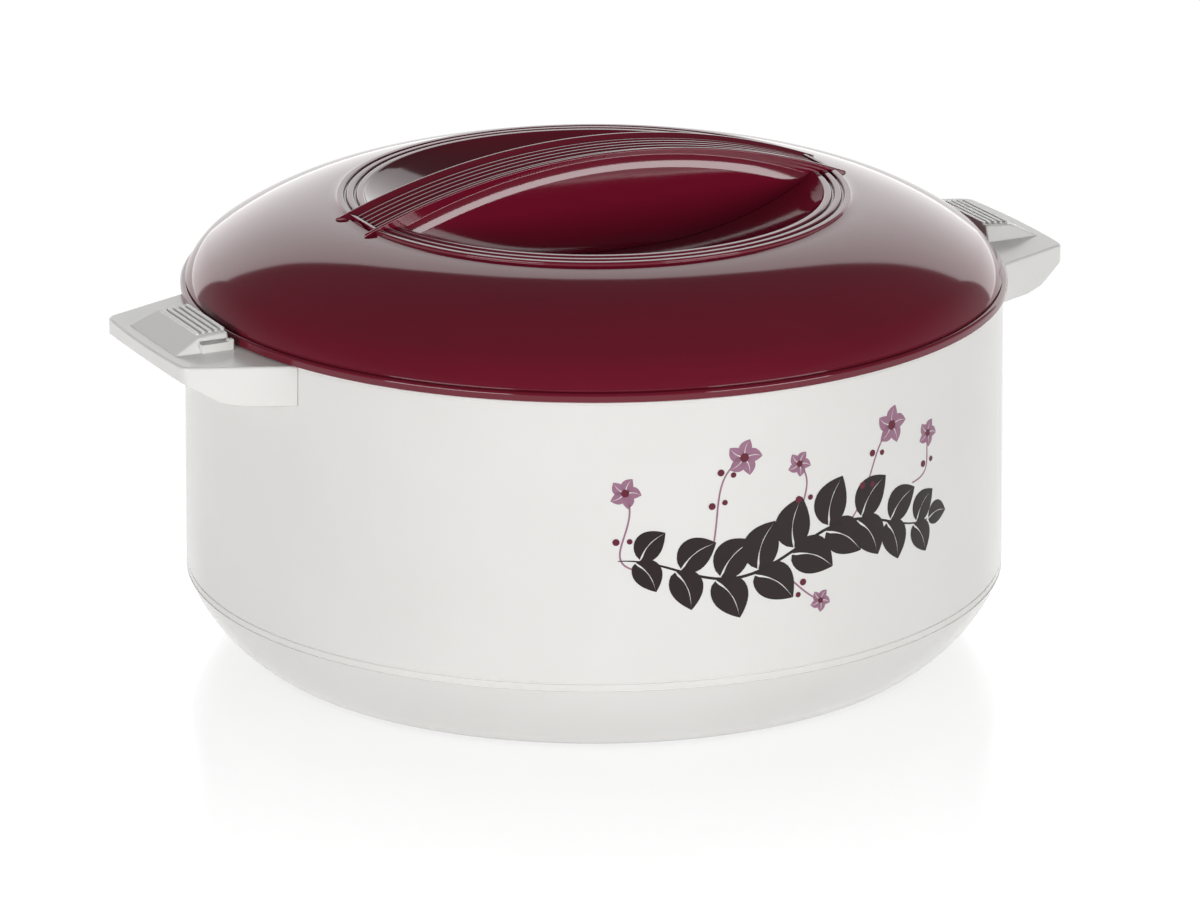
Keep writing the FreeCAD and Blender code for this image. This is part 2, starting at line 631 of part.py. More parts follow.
def track_grooves():
    """Return the grooves that leave the long ribs standing in the handle's track."""
    top = HANDLE_ARC_R - STRIP_DROP
    width = HANDLE_RIB_PITCH - HANDLE_RIB_W
    first = -HANDLE_RIB_PITCH * HANDLE_RIBS / 2
    grooves = []
    for n in range(HANDLE_RIBS + 1):
        w = first + n * HANDLE_RIB_PITCH
        half = width / 2
        section = [
            (w - half, top + 2), (w - half, top - HANDLE_RIB_H + 0.2), (w - half + 0.2, top - HANDLE_RIB_H),
            (w + half - 0.2, top - HANDLE_RIB_H), (w + half, top - HANDLE_RIB_H + 0.2), (w + half, top + 2),
        ]
        grooves.append(handle_arch(section, TRACK_END_X))
    return grooves


def handle_seat(lift):
    """Return the part of the lid that the handle stands on, raised by this much."""
    z = LID_Z + lift
    mid_r = (DISH_FLAT_R + HANDLE_POCKET_R) / 2
    ledge_z = LID_Z + HANDLE_POCKET_Z + lift
    seat = turned(
        (0, 0), (CROWN_MID[0], 0), (CROWN_MID[0], ledge_z), (HANDLE_POCKET_R, ledge_z),
        (mid_r, z + dish_z(mid_r), DISH_FLAT_R, z + DISH_Z), (0, z + DISH_Z),
    )
    seat.rotate(ORIGIN, UP, 90)  # keeps the seam of the turned form away from the handle's ends
    return seat


def handle_pocket():
    """Return the notches in beads and dome that the ends of the handle drop into."""
    z0 = LID_Z + HANDLE_POCKET_Z
    z1 = LID_Z + HANDLE_CROWN
    half = HANDLE_HALF_W + SEAT
    inner = HANDLE_POCKET_R
    arch = handle_arch(handle_section(SEAT), TIP_X + HANDLE_T)
    near = inner - HANDLE_HALF_W
    wide = HANDLE_SPAN_W / 2
    end = block(near, TRACK_END_X + SEAT, -half, half, z0, z1)
    end = end.fuse(arch.common(block(near, TRACK_END_X + SEAT, -wide, wide, z0, z1)))
    for side in (-1, 1):
        y0, y1 = sorted((side * (TRACK_HALF_W - SEAT), side * half))
        end = end.fuse(block(TRACK_END_X - 1, TIP_X + SEAT, y0, y1, z0, z1))
    end = end.cut(Part.makeCylinder(inner, 2 * HANDLE_CROWN, V(0, 0, LID_Z)))
    return end.fuse(half_turn(end))


def screw_seat_z():
    """Return the height of the flat seats under the dish, just below the shell's lowest point there."""
    return LID_Z + dish_z(HANDLE_SCREW_X - DISH_PAD_R) - DOME_T - 0.6


def dish_pads():
    """Return the flat seats under the dish for the two handle screws, as full rods."""
    rods = []
    for x in (-HANDLE_SCREW_X, HANDLE_SCREW_X):
        rods.append(Part.makeCylinder(DISH_PAD_R, DOME_T + 0.6, V(x, 0, screw_seat_z())))
    return rods


def lid_shell():
    """The domed lid moulding with notches for the handle and seats for its screws."""
    shell = lid_solid().cut(lid_hollow(0))
    shell = fused([shell] + dish_pads())
    shell = shell.cut(handle_pocket())
    for x in (-HANDLE_SCREW_X, HANDLE_SCREW_X):
        shell = shell.cut(Part.makeCylinder(SCREW_HOLE_R, HANDLE_CROWN, V(x, 0, LID_Z)))
    return shell


def handle_hollow():
    """Return the space inside the handle, parted by thin webs."""
    half = HANDLE_HALF_W + SHOULDER_W - HANDLE_T
    turn_r = HANDLE_ARC_R - STRIP_H - SHOULDER_H
    foot_r = LID_Z + DISH_Z - 5 - ARC_CENTRE_Z
    foot_w = half + (turn_r - foot_r) * math.tan(math.radians(SIDE_DRAFT))
    section = [
        (-foot_w, foot_r), (-half, turn_r - 1), (-HANDLE_HALF_W + HANDLE_T, HANDLE_ROOF_R),
        (HANDLE_HALF_W - HANDLE_T, HANDLE_ROOF_R), (half, turn_r - 1), (foot_w, foot_r),
    ]
    space = handle_arch(section, HANDLE_HOLLOW_X)
    for x in (-HANDLE_SCREW_X / 2, 0, HANDLE_SCREW_X / 2):
        half_t = HANDLE_WEB_T / 2
        web = block(x - half_t, x + half_t, -HANDLE_SPAN_W, HANDLE_SPAN_W, LID_Z, LID_Z + HANDLE_CROWN)
        space = space.cut(web)
    return space


def lid_handle():
    """The bridge handle: an arched hollow band with a ribbed track between two edge strips."""
    arch = handle_arch(handle_section(0), TIP_X + HANDLE_T)
    top_z = LID_Z + HANDLE_CROWN
    for side in (-1, 1):
        x0, x1 = sorted((side * TIP_X, side * FLANGE_R))
        arch = arch.cut(block(x0, x1, -HANDLE_SPAN_W, HANDLE_SPAN_W, 0, top_z))
        x0, x1 = sorted((side * TRACK_END_X, side * FLANGE_R))
        arch = arch.cut(block(x0, x1, -TRACK_HALF_W, TRACK_HALF_W, 0, top_z))
    for groove in track_grooves():
        arch = arch.cut(groove)
    seat = handle_seat(SEAT)
    shapes = [arch.cut(handle_hollow()).cut(seat)]
    start = V(0, -HANDLE_SPAN_W, ARC_CENTRE_Z)
    below_roof = Part.makeCylinder(HANDLE_ROOF_R + 0.5, 2 * HANDLE_SPAN_W, start, V(0, 1, 0))
    for x in (-HANDLE_SCREW_X, HANDLE_SCREW_X):
        rod = Part.makeCylinder(BOSS_R, HANDLE_CROWN - DISH_Z, V(x, 0, LID_Z + DISH_Z))
        shapes.append(rod.common(below_roof).cut(seat))
    handle = fused(shapes)
    for x in (-HANDLE_SCREW_X, HANDLE_SCREW_X):
        pilot = Part.makeCylinder(PILOT_R, HANDLE_SCREW_L + 1, V(x, 0, screw_seat_z()))
        handle = handle.cut(pilot)
    return handle


def handle_screws():
    """The two screws that hold the handle, driven up through the dish."""
    placed = []
    for x in (-HANDLE_SCREW_X, HANDLE_SCREW_X):
        one = screw(HANDLE_SCREW_L)
        one.translate(V(x, 0, screw_seat_z()))
        placed.append(one)
    return Part.makeCompound(placed)


def lid_liner():
    """The lid's underside: an edge plate, the seal pocket and the plug that centres the lid."""
    z = LID_Z
    edge_top = z + LINER_EDGE_Z + LINER_T - 2 * SEAT
    step_r = SEAL_POCKET_R + LINER_T
    plate_top = z + LINER_TOP_Z
    plate_low = plate_top - LINER_T
    well_r = PLUG_R - LINER_T
    bottom = z + PLUG_BOTTOM_Z
    return turned(
        (0, bottom), (PLUG_R - 1, bottom), (PLUG_R, bottom + 1), (PLUG_R, plate_low),
        (SEAL_POCKET_R, plate_low), (SEAL_POCKET_R, z + LINER_EDGE_Z), (LINER_EDGE_R, z + LINER_EDGE_Z),
        (LINER_EDGE_R, edge_top), (step_r, edge_top), (step_r, plate_top), (well_r, plate_top),
        (well_r, bottom + LINER_T), (0, bottom + LINER_T),
    )


def lid_foam():
    """The insulation between lid shell and liner."""
    filled = lid_hollow(FOAM_GAP)
    step_r = SEAL_POCKET_R + LINER_T + FOAM_GAP
    top_z = LID_Z + LINER_TOP_Z + FOAM_GAP
    edge_z = LID_Z + LINER_EDGE_Z + LINER_T
    well_r = PLUG_R - LINER_T - FOAM_GAP
    well_z = LID_Z + PLUG_BOTTOM_Z + LINER_T + FOAM_GAP
    above = filled.common(tube(0, FLANGE_R, top_z, LID_Z + HANDLE_CROWN))
    step = filled.common(tube(step_r, FLANGE_R, edge_z, top_z))
    well = Part.makeCylinder(well_r, top_z - well_z, V(0, 0, well_z))
    foam = fused([above, step, well])
    depth = SCREW_HEAD_H + 2 * FOAM_GAP
    for x in (-HANDLE_SCREW_X, HANDLE_SCREW_X):
        room = Part.makeCylinder(DISH_PAD_R + FOAM_GAP, HANDLE_CROWN, V(x, 0, screw_seat_z() - depth))
        foam = foam.cut(room)
    return foam


def export(node, shape):
    """Write one node's STEP file and say what it holds."""
    shape.exportStep("parts/" + node + ".step")
    print(node, len(shape.Solids), round(shape.Volume / 1000, 1), shape.isValid())


def main():
    """Build every node."""
    os.makedirs("parts", exist_ok=True)
    right = lug_right()
    export("outer_shell", outer_shell())
    export("base_cup", base_cup())
    export("fill_plug", fill_plug())
    export("inner_pot", inner_pot())
    export("rim_collar", rim_collar())
    export("body_foam", body_foam())
    export("lug_right", right)
    export("lug_left", half_turn(right))
    export("lug_screws", lug_screws())
    export("lid_seal", lid_seal())
    export("lid_shell", lid_shell())
    export("lid_handle", lid_handle())
    export("handle_screws", handle_screws())
    export("lid_liner", lid_liner())
    export("lid_foam", lid_foam())


main()
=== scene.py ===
"""Looks of an insulated chapati casserole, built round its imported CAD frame.

The frame gives every place and size. This script models the visible mouldings afresh with
fine roundings, dresses the pieces that stay from the frame, and sets a plain pale studio.
"""

import logging
import math
from dataclasses import dataclass
from enum import Enum
from functools import cached_property

import bmesh
import bpy
from mathutils import Matrix, Vector, geometry


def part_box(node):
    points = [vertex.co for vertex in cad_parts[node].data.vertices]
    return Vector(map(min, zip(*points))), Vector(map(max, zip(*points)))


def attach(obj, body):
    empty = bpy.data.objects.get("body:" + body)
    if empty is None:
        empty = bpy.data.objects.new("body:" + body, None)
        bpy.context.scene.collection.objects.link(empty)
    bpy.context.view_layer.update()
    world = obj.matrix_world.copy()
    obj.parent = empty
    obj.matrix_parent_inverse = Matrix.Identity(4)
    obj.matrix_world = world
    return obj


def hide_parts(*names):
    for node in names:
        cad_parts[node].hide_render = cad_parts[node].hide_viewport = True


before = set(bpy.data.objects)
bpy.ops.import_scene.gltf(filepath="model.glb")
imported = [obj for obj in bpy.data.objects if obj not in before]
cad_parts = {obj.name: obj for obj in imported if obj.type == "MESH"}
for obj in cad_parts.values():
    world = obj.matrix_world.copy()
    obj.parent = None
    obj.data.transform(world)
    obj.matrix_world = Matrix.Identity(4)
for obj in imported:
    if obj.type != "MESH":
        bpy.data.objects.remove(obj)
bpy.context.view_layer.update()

MM = 0.001
TURN = 2 * math.pi
STRAIGHT = 0.02  # half angle in radians below which a corner is a line
LOG = logging.getLogger("casserole")

Point = tuple[float, float]


class Body(Enum):
    """The moving bodies that rebuilt pieces ride on."""

    BASE = "base"
    LID = "lid"


class Slot(Enum):
    """Material slot names, which no piece here uses."""

    WHITE = "body_white"
    BURGUNDY = "lid_burgundy"


# Finishes


def srgb(hex_code: str) -> tuple[float, float, float, float]:
    """Turn an sRGB hex colour into linear RGBA.

    Args:
        hex_code: Six hex digits with a leading hash.

    Returns:
        The linear colour with full alpha.
    """
    channels = []
    for start in (1, 3, 5):
        value = int(hex_code[start:start + 2], 16) / 255
        channels.append(value / 12.92 if value <= 0.04045 else ((value + 0.055) / 1.055) ** 2.4)
    return (*channels, 1.0)


def add_node(
    tree: bpy.types.NodeTree,
    kind: str,
    settings: dict | None = None,
    values: dict | None = None,
    links: dict | None = None,
) -> bpy.types.Node:
    """Add a node with its settings, socket values and incoming links.

    Args:
        tree: The node tree.
        kind: The node's type name.
        settings: Attributes to set on the node.
        values: Default values by input name or index.
        links: Output sockets by the input that they feed.

    Returns:
        The new node.
    """
    node = tree.nodes.new(kind)
    for name, value in (settings or {}).items():
        setattr(node, name, value)
    for name, value in (values or {}).items():
        node.inputs[name].default_value = value
    for name, socket in (links or {}).items():
        tree.links.new(socket, node.inputs[name])
    return node


class Recipe:
    """A material in the making: a principled shader and the steps that finishes share.

    Attributes:
        material: The node material.
        tree: Its node tree.
        shader: Its principled shader.
        place: Socket with the object's own coordinates.
    """

    def __init__(self, name: str, inputs: dict) -> None:
        """Start from a bare principled shader.

        Args:
            name: The material's name.
            inputs: Values of the shader's inputs by name.
        """
        self.material = bpy.data.materials.new(name)
        self.material.use_nodes = True
        self.tree = self.material.node_tree
        self.tree.nodes.clear()
        self.shader = add_node(self.tree, "ShaderNodeBsdfPrincipled", values=inputs)
        add_node(
            self.tree, "ShaderNodeOutputMaterial", links={"Surface": self.shader.outputs["BSDF"]}
        )
        self.place = add_node(self.tree, "ShaderNodeTexCoord").outputs["Object"]

    def noise(
        self, size_mm: float, detail: float, place: bpy.types.NodeSocket | None = None
    ) -> bpy.types.NodeSocket:
        """Return noise of this size, in the object's own coordinates or in others."""
        return add_node(
            self.tree, "ShaderNodeTexNoise",
            values={"Scale": 1 / (size_mm * MM), "Detail": detail},
            links={"Vector": self.place if place is None else place},
        ).outputs["Fac"]

    def tone(self, factor: bpy.types.NodeSocket, low: str, high: str) -> None:
        """Colour the shader between two hex colours."""
        mix = add_node(
            self.tree, "ShaderNodeMix", {"data_type": "RGBA"},
            {"A": srgb(low), "B": srgb(high)}, {"Factor": factor},
        )
        self.tree.links.new(mix.outputs["Result"], self.shader.inputs["Base Color"])

    def gloss(self, factor: bpy.types.NodeSocket, middle: float, spread: float) -> None:
        """Vary the shader's roughness either way from its middle."""
        ends = add_node(
            self.tree, "ShaderNodeMapRange",
            values={"To Min": middle - spread, "To Max": middle + spread},
            links={"Value": factor},
        )
        self.tree.links.new(ends.outputs["Result"], self.shader.inputs["Roughness"])

    def bump(
        self, height: bpy.types.NodeSocket, depth_mm: float, strength: float = 1.0
    ) -> bpy.types.Node:
        """Raise the surface by a height map and return the bump node."""
        raised = add_node(
            self.tree, "ShaderNodeBump",
            values={"Strength": strength, "Distance": depth_mm * MM}, links={"Height": height},
        )
        self.tree.links.new(raised.outputs["Normal"], self.shader.inputs["Normal"])
        return raised


@dataclass(frozen=True)
class MouldedPlastic:
    """Injection-moulded polypropylene: clean gloss with a faint uneven skin.

    The flow of the melt leaves a very slight change of tone, and the steel tool a shallow
    waviness that only shows in the reflections.

    Attributes:
        name: The material's name.
        colour: Main colour.
        flow_colour: Colour where the melt flowed last.
        roughness: Middle roughness.
        roughness_spread: How far the roughness goes either way.
        flow_mm: Size of the patches of tone.
        skin_mm: Length of the skin's waves.
        skin_depth_mm: Depth of the skin's waves.
        ior: Index of refraction.
        edge_mm: Radius by which sharp edges look rounded, 0 for none.
    """

    name: str
    colour: str
    flow_colour: str
    roughness: float
    roughness_spread: float
    flow_mm: float = 34.0
    skin_mm: float = 9.0
    skin_depth_mm: float = 0.012
    ior: float = 1.49
    edge_mm: float = 0.0

    def build(self) -> bpy.types.Material:
        """Return the node material."""
        recipe = Recipe(self.name, {"IOR": self.ior})
        flow = recipe.noise(self.flow_mm, 2.0)
        recipe.tone(flow, self.colour, self.flow_colour)
        recipe.gloss(flow, self.roughness, self.roughness_spread)
        skin = recipe.bump(recipe.noise(self.skin_mm, 1.0), self.skin_depth_mm)
        if self.edge_mm:
            edge = add_node(
                recipe.tree, "ShaderNodeBevel", {"samples": 4}, {"Radius": self.edge_mm * MM}
            )
            recipe.tree.links.new(edge.outputs["Normal"], skin.inputs["Normal"])
        return recipe.material


@dataclass(frozen=True)
class SpunSteel:
    """Stainless steel sheet polished on a lathe: fine rings that follow the turn."""

    name: str = "stainless_steel_spun"
    colour: str = "#CFCECB"
    roughness: float = 0.26
    roughness_spread: float = 0.07
    ring_mm: float = 0.6
    ring_depth_mm: float = 0.01

    def build(self) -> bpy.types.Material:
        """Return the node material."""
        recipe = Recipe(self.name, {"Metallic": 1.0, "Base Color": srgb(self.colour)})
        tree = recipe.tree
        split = add_node(tree, "ShaderNodeSeparateXYZ", links={"Vector": recipe.place})
        flat = add_node(
            tree, "ShaderNodeCombineXYZ", links={"X": split.outputs["X"], "Y": split.outputs["Y"]}
        )
        radius = add_node(
            tree, "ShaderNodeVectorMath", {"operation": "LENGTH"}, links={0: flat.outputs["Vector"]}
        )
        turned = add_node(
            tree, "ShaderNodeCombineXYZ",
            links={"X": radius.outputs["Value"], "Z": split.outputs["Z"]},
        )
        rings = recipe.noise(self.ring_mm, 3.0, turned.outputs["Vector"])
        recipe.gloss(rings, self.roughness, self.roughness_spread)
        recipe.bump(rings, self.ring_depth_mm, strength=0.6)
        return recipe.material


@dataclass(frozen=True)
class PlatedSteel:
    """Zinc-plated screw steel: a slightly cloudy bright metal."""

    name: str = "zinc_plated_steel"
    colour: str = "#B9BAB8"
    roughness: float = 0.35
    roughness_spread: float = 0.09
    cloud_mm: float = 1.5

    def build(self) -> bpy.types.Material:
        """Return the node material."""
        recipe = Recipe(self.name, {"Metallic": 1.0, "Base Color": srgb(self.colour)})
        recipe.gloss(recipe.noise(self.cloud_mm, 2.0), self.roughness, self.roughness_spread)
        return recipe.material


@dataclass(frozen=True)
class SealSilicone:
    """Moulded silicone: milky, soft sheen, light passing a little way in."""

    name: str = "silicone_moulded"
    colour: str = "#E6E3DA"
    roughness: float = 0.45
    roughness_spread: float = 0.06
    ior: float = 1.41
    milk: float = 0.2
    milk_mm: float = 1.0
    grain_mm: float = 0.8

    def build(self) -> bpy.types.Material:
        """Return the node material."""
        recipe = Recipe(self.name, {
            "Base Color": srgb(self.colour), "IOR": self.ior,
            "Subsurface Weight": self.milk, "Subsurface Scale": self.milk_mm * MM,
        })
        recipe.gloss(recipe.noise(self.grain_mm, 2.0), self.roughness, self.roughness_spread)
        return recipe.material


@dataclass(frozen=True)
class RigidFoam:
    """Poured polyurethane foam: cream, matt, with small open cells whose pits are painted darker as
    painted shade.
    """

    name: str = "polyurethane_foam_poured"
    colour: str = "#E9D9A6"
    # painted shade: the darker colour given to the bottoms of the cell pits
    pit_shade_colour: str = "#C9B27A"
    roughness: float = 0.9
    cell_mm: float = 1.6
    cell_depth_mm: float = 0.3

    def build(self) -> bpy.types.Material:
        """Return the node material."""
        recipe = Recipe(self.name, {"Roughness": self.roughness})
        cells = add_node(
            recipe.tree, "ShaderNodeTexVoronoi", values={"Scale": 1 / (self.cell_mm * MM)},
            links={"Vector": recipe.place},
        ).outputs["Distance"]
        # painted shade: the pits, lowest in the bump, take the darker colour
        recipe.tone(cells, self.pit_shade_colour, self.colour)
        recipe.bump(cells, self.cell_depth_mm)
        return recipe.material


@dataclass(frozen=True)
class PadPrintInk:
    """Pad-printed ink on gloss plastic: thin, slightly uneven, a little less glossy."""

    name: str
    colour: str
    thin_colour: str
    roughness: float = 0.32
    ior: float = 1.4
    patch_mm: float = 2.2

    def build(self) -> bpy.types.Material:
        """Return the node material."""
        recipe = Recipe(self.name, {"Roughness": self.roughness, "IOR": self.ior})
        recipe.tone(recipe.noise(self.patch_mm, 3.0), self.thin_colour, self.colour)
        return recipe.material


WHITE_GLOSS = MouldedPlastic("polypropylene_white_gloss", "#EFEEEC", "#E9E8E5", 0.2, 0.03)
WHITE_SOFT_EDGE = MouldedPlastic(
    "polypropylene_white_soft_edge", "#EFEEEC", "#E9E8E5", 0.2, 0.03, edge_mm=0.4
)
WHITE_SATIN = MouldedPlastic("polypropylene_white_satin", "#EBE9E5", "#E4E2DC", 0.34, 0.04)
BURGUNDY_GLOSS = MouldedPlastic(
    "polypropylene_burgundy_gloss", "#731129", "#690E24", 0.075, 0.02,
    skin_mm=24.0, skin_depth_mm=0.05,
)
INK_MAUVE = PadPrintInk("pad_print_ink_mauve", "#96677F", "#A67C93")
INK_MAROON = PadPrintInk("pad_print_ink_maroon", "#5A0F26", "#6B1D33")
INK_DARK = PadPrintInk("pad_print_ink_dark", "#170808", "#241112")


# Mesh tools


@dataclass(frozen=True)
class Corner:
    """One corner of a section, with the radius that rounds it.

    Attributes:
        x: Distance from the axis, or half width, in metres.
        z: Height in metres.
        radius: Radius of the rounding, 0 for a sharp corner.
    """

    x: float
    z: float
    radius: float = 0.0


def mm(*values: float) -> tuple[float, ...]:
    """Turn millimetres into metres."""
    return tuple(value * MM for value in values)


def corner_mm(x: float, z: float, radius: float = 0.0) -> Corner:
    """Return a corner whose sizes are given in millimetres."""
    return Corner(*mm(x, z, radius))


def arc_points(start: Point, through: Point, end: Point, steps: int) -> list[Corner]:
    """Divide the arc through three points.

    Args:
        start: First point.
        through: A point between the two ends.
        end: Last point.
        steps: Number of equal steps.

    Returns:
        The points of the arc, with both ends.
    """
    (ax, ay), (bx, by), (cx, cy) = start, through, end
    d = 2 * (ax * (by - cy) + bx * (cy - ay) + cx * (ay - by))
    sa, sb, sc = ax * ax + ay * ay, bx * bx + by * by, cx * cx + cy * cy
    ux = (sa * (by - cy) + sb * (cy - ay) + sc * (ay - by)) / d
    uy = (sa * (cx - bx) + sb * (ax - cx) + sc * (bx - ax)) / d
    radius = math.hypot(ax - ux, ay - uy)
    first = math.atan2(ay - uy, ax - ux)
    to_mid = (math.atan2(by - uy, bx - ux) - first) % TURN
    to_end = (math.atan2(cy - uy, cx - ux) - first) % TURN
    sweep = to_end if to_mid < to_end else to_end - TURN
    return [
        Corner(ux + radius * math.cos(first + sweep * n / steps),
               uy + radius * math.sin(first + sweep * n / steps))
        for n in range(steps + 1)
    ]


def rounded(corners: list[Corner], closed: bool, steps: int = 5) -> list[Point]:
    """Round a section's corners.

    Args:
        corners: The section's corners in order.
        closed: Whether the last corner joins the first.
        steps: Steps of each rounding.

    Returns:
        The points of the rounded section.
    """
    points: list[Point] = []
    count = len(corners)
    for n, corner in enumerate(corners):
        here = Vector((corner.x, corner.z))
        open_end = not closed and n in (0, count - 1)
        if corner.radius <= 0 or open_end:
            points.append((here.x, here.y))
            continue
        before = corners[n - 1]
        after = corners[(n + 1) % count]
        back = Vector((before.x, before.z)) - here
        forth = Vector((after.x, after.z)) - here
        half = back.angle(forth) / 2
        if not STRAIGHT < half < math.pi / 2 - STRAIGHT:
            points.append((here.x, here.y))
            continue
        longest = 0.48 * min(back.length, forth.length)
        reach = min(corner.radius / math.tan(half), longest)
        radius = reach * math.tan(half)
        inward = (back.normalized() + forth.normalized()).normalized()
        centre = here + inward * radius / math.sin(half)
        start = here + back.normalized() * reach
        end = here + forth.normalized() * reach
        middle = centre + (here - centre).normalized() * radius
        turn = arc_points((start.x, start.y), (middle.x, middle.y), (end.x, end.y), steps)
        points += [(p.x, p.z) for p in turn]
    return points


def shade(mesh: bpy.types.Mesh, smooth_deg: float) -> None:
    """Shade a mesh smooth, but keep the edges sharper than this angle."""
    for polygon in mesh.polygons:
        polygon.use_smooth = True
    mesh.set_sharp_from_angle(angle=math.radians(smooth_deg))


def finished(
    mesh_data: bmesh.types.BMesh, name: str, smooth_deg: float = 40.0
) -> bpy.types.Object:
    """Turn a bmesh into a smooth-shaded object at the origin.

    Args:
        mesh_data: The bmesh, which is freed.
        name: The piece's name.
        smooth_deg: Edges sharper than this stay sharp.

    Returns:
        The linked object.
    """
    bmesh.ops.remove_doubles(mesh_data, verts=mesh_data.verts, dist=1e-7)
    bmesh.ops.recalc_face_normals(mesh_data, faces=mesh_data.faces)
    mesh = bpy.data.meshes.new(name)
    mesh_data.to_mesh(mesh)
    mesh_data.free()
    shade(mesh, smooth_deg)
    piece = bpy.data.objects.new(name, mesh)
    bpy.context.scene.collection.objects.link(piece)
    return piece


def spun(points: list[Point], closed: bool, steps: int = 288) -> bmesh.types.BMesh:
    """Spin a section once round the vertical axis.

    Args:
        points: Radius and height of each point.
        closed: Whether the last point joins the first.
        steps: Steps of the spin.

    Returns:
        The turned bmesh.
    """
    turned = bmesh.new()
    verts = [turned.verts.new((r, 0.0, z)) for r, z in points]
    pairs = list(zip(verts, verts[1:]))
    if closed:
        pairs.append((verts[-1], verts[0]))
    edges = [turned.edges.new(pair) for pair in pairs]
    bmesh.ops.spin(
        turned, geom=verts + edges, cent=(0, 0, 0), axis=(0, 0, 1), dvec=(0, 0, 0),
        angle=TURN, steps=steps, use_merge=True, use_duplicate=False,
    )
    return turned


def carve(
    piece: bpy.types.Object, cutter: bpy.types.Object, operation: str = "DIFFERENCE"
) -> None:
    """Apply a boolean to a piece and delete the cutter.

    Args:
        piece: The piece to cut, whose mesh is replaced.
        cutter: The other object of the boolean.
        operation: DIFFERENCE, UNION or INTERSECT.
    """
    modifier = piece.modifiers.new("carve", "BOOLEAN")
    modifier.operation = operation
    modifier.solver = "EXACT"
    modifier.object = cutter
    graph = bpy.context.evaluated_depsgraph_get()
    mesh = bpy.data.meshes.new_from_object(piece.evaluated_get(graph))
    piece.modifiers.clear()
    old = piece.data
    piece.data = mesh
    mesh.name = piece.name
    bpy.data.meshes.remove(old)
    bpy.data.objects.remove(cutter)


def block(name: str, low: tuple[float, ...], high: tuple[float, ...]) -> bpy.types.Object:
    """Make a plain box between two corners, for use in a boolean.

    Args:
        name: The object's name.
        low: Lowest corner in metres.
        high: Highest corner in metres.

    Returns:
        The box.
    """
    box = bmesh.new()
    bmesh.ops.create_cube(box, size=1.0)
    size = Vector(high) - Vector(low)
    bmesh.ops.scale(box, vec=size, verts=box.verts)
    bmesh.ops.translate(box, vec=(Vector(high) + Vector(low)) / 2, verts=box.verts)
    return finished(box, name)


def weighted(piece: bpy.types.Object) -> None:
    """Let the large faces set the shading, so that small roundings don't bend it."""
    modifier = piece.modifiers.new("weighted", "WEIGHTED_NORMAL")
    modifier.keep_sharp = True
    modifier.weight = 60


def dress(piece: bpy.types.Object, material: bpy.types.Material) -> None:
    """Give a piece one material on all its slots."""
    if not piece.data.materials:
        piece.data.materials.append(material)
    for index in range(len(piece.material_slots)):
        piece.material_slots[index].material = material


def settle(
    piece: bpy.types.Object, material: bpy.types.Material, body: Body,
    nodes: tuple[str, ...] = (),
) -> None:
    """Dress a finished piece, register it with the frame and log it.

    Args:
        piece: The finished piece.
        material: Its material.
        body: The body that it rides on.
        nodes: CAD nodes that it stands for.
    """
    dress(piece, material)
    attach(piece, body.value)
    if nodes:
        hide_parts(*nodes)
    LOG.info("%s: %d faces on %s", piece.name, len(piece.data.polygons), body.value)


# Sub-assemblies


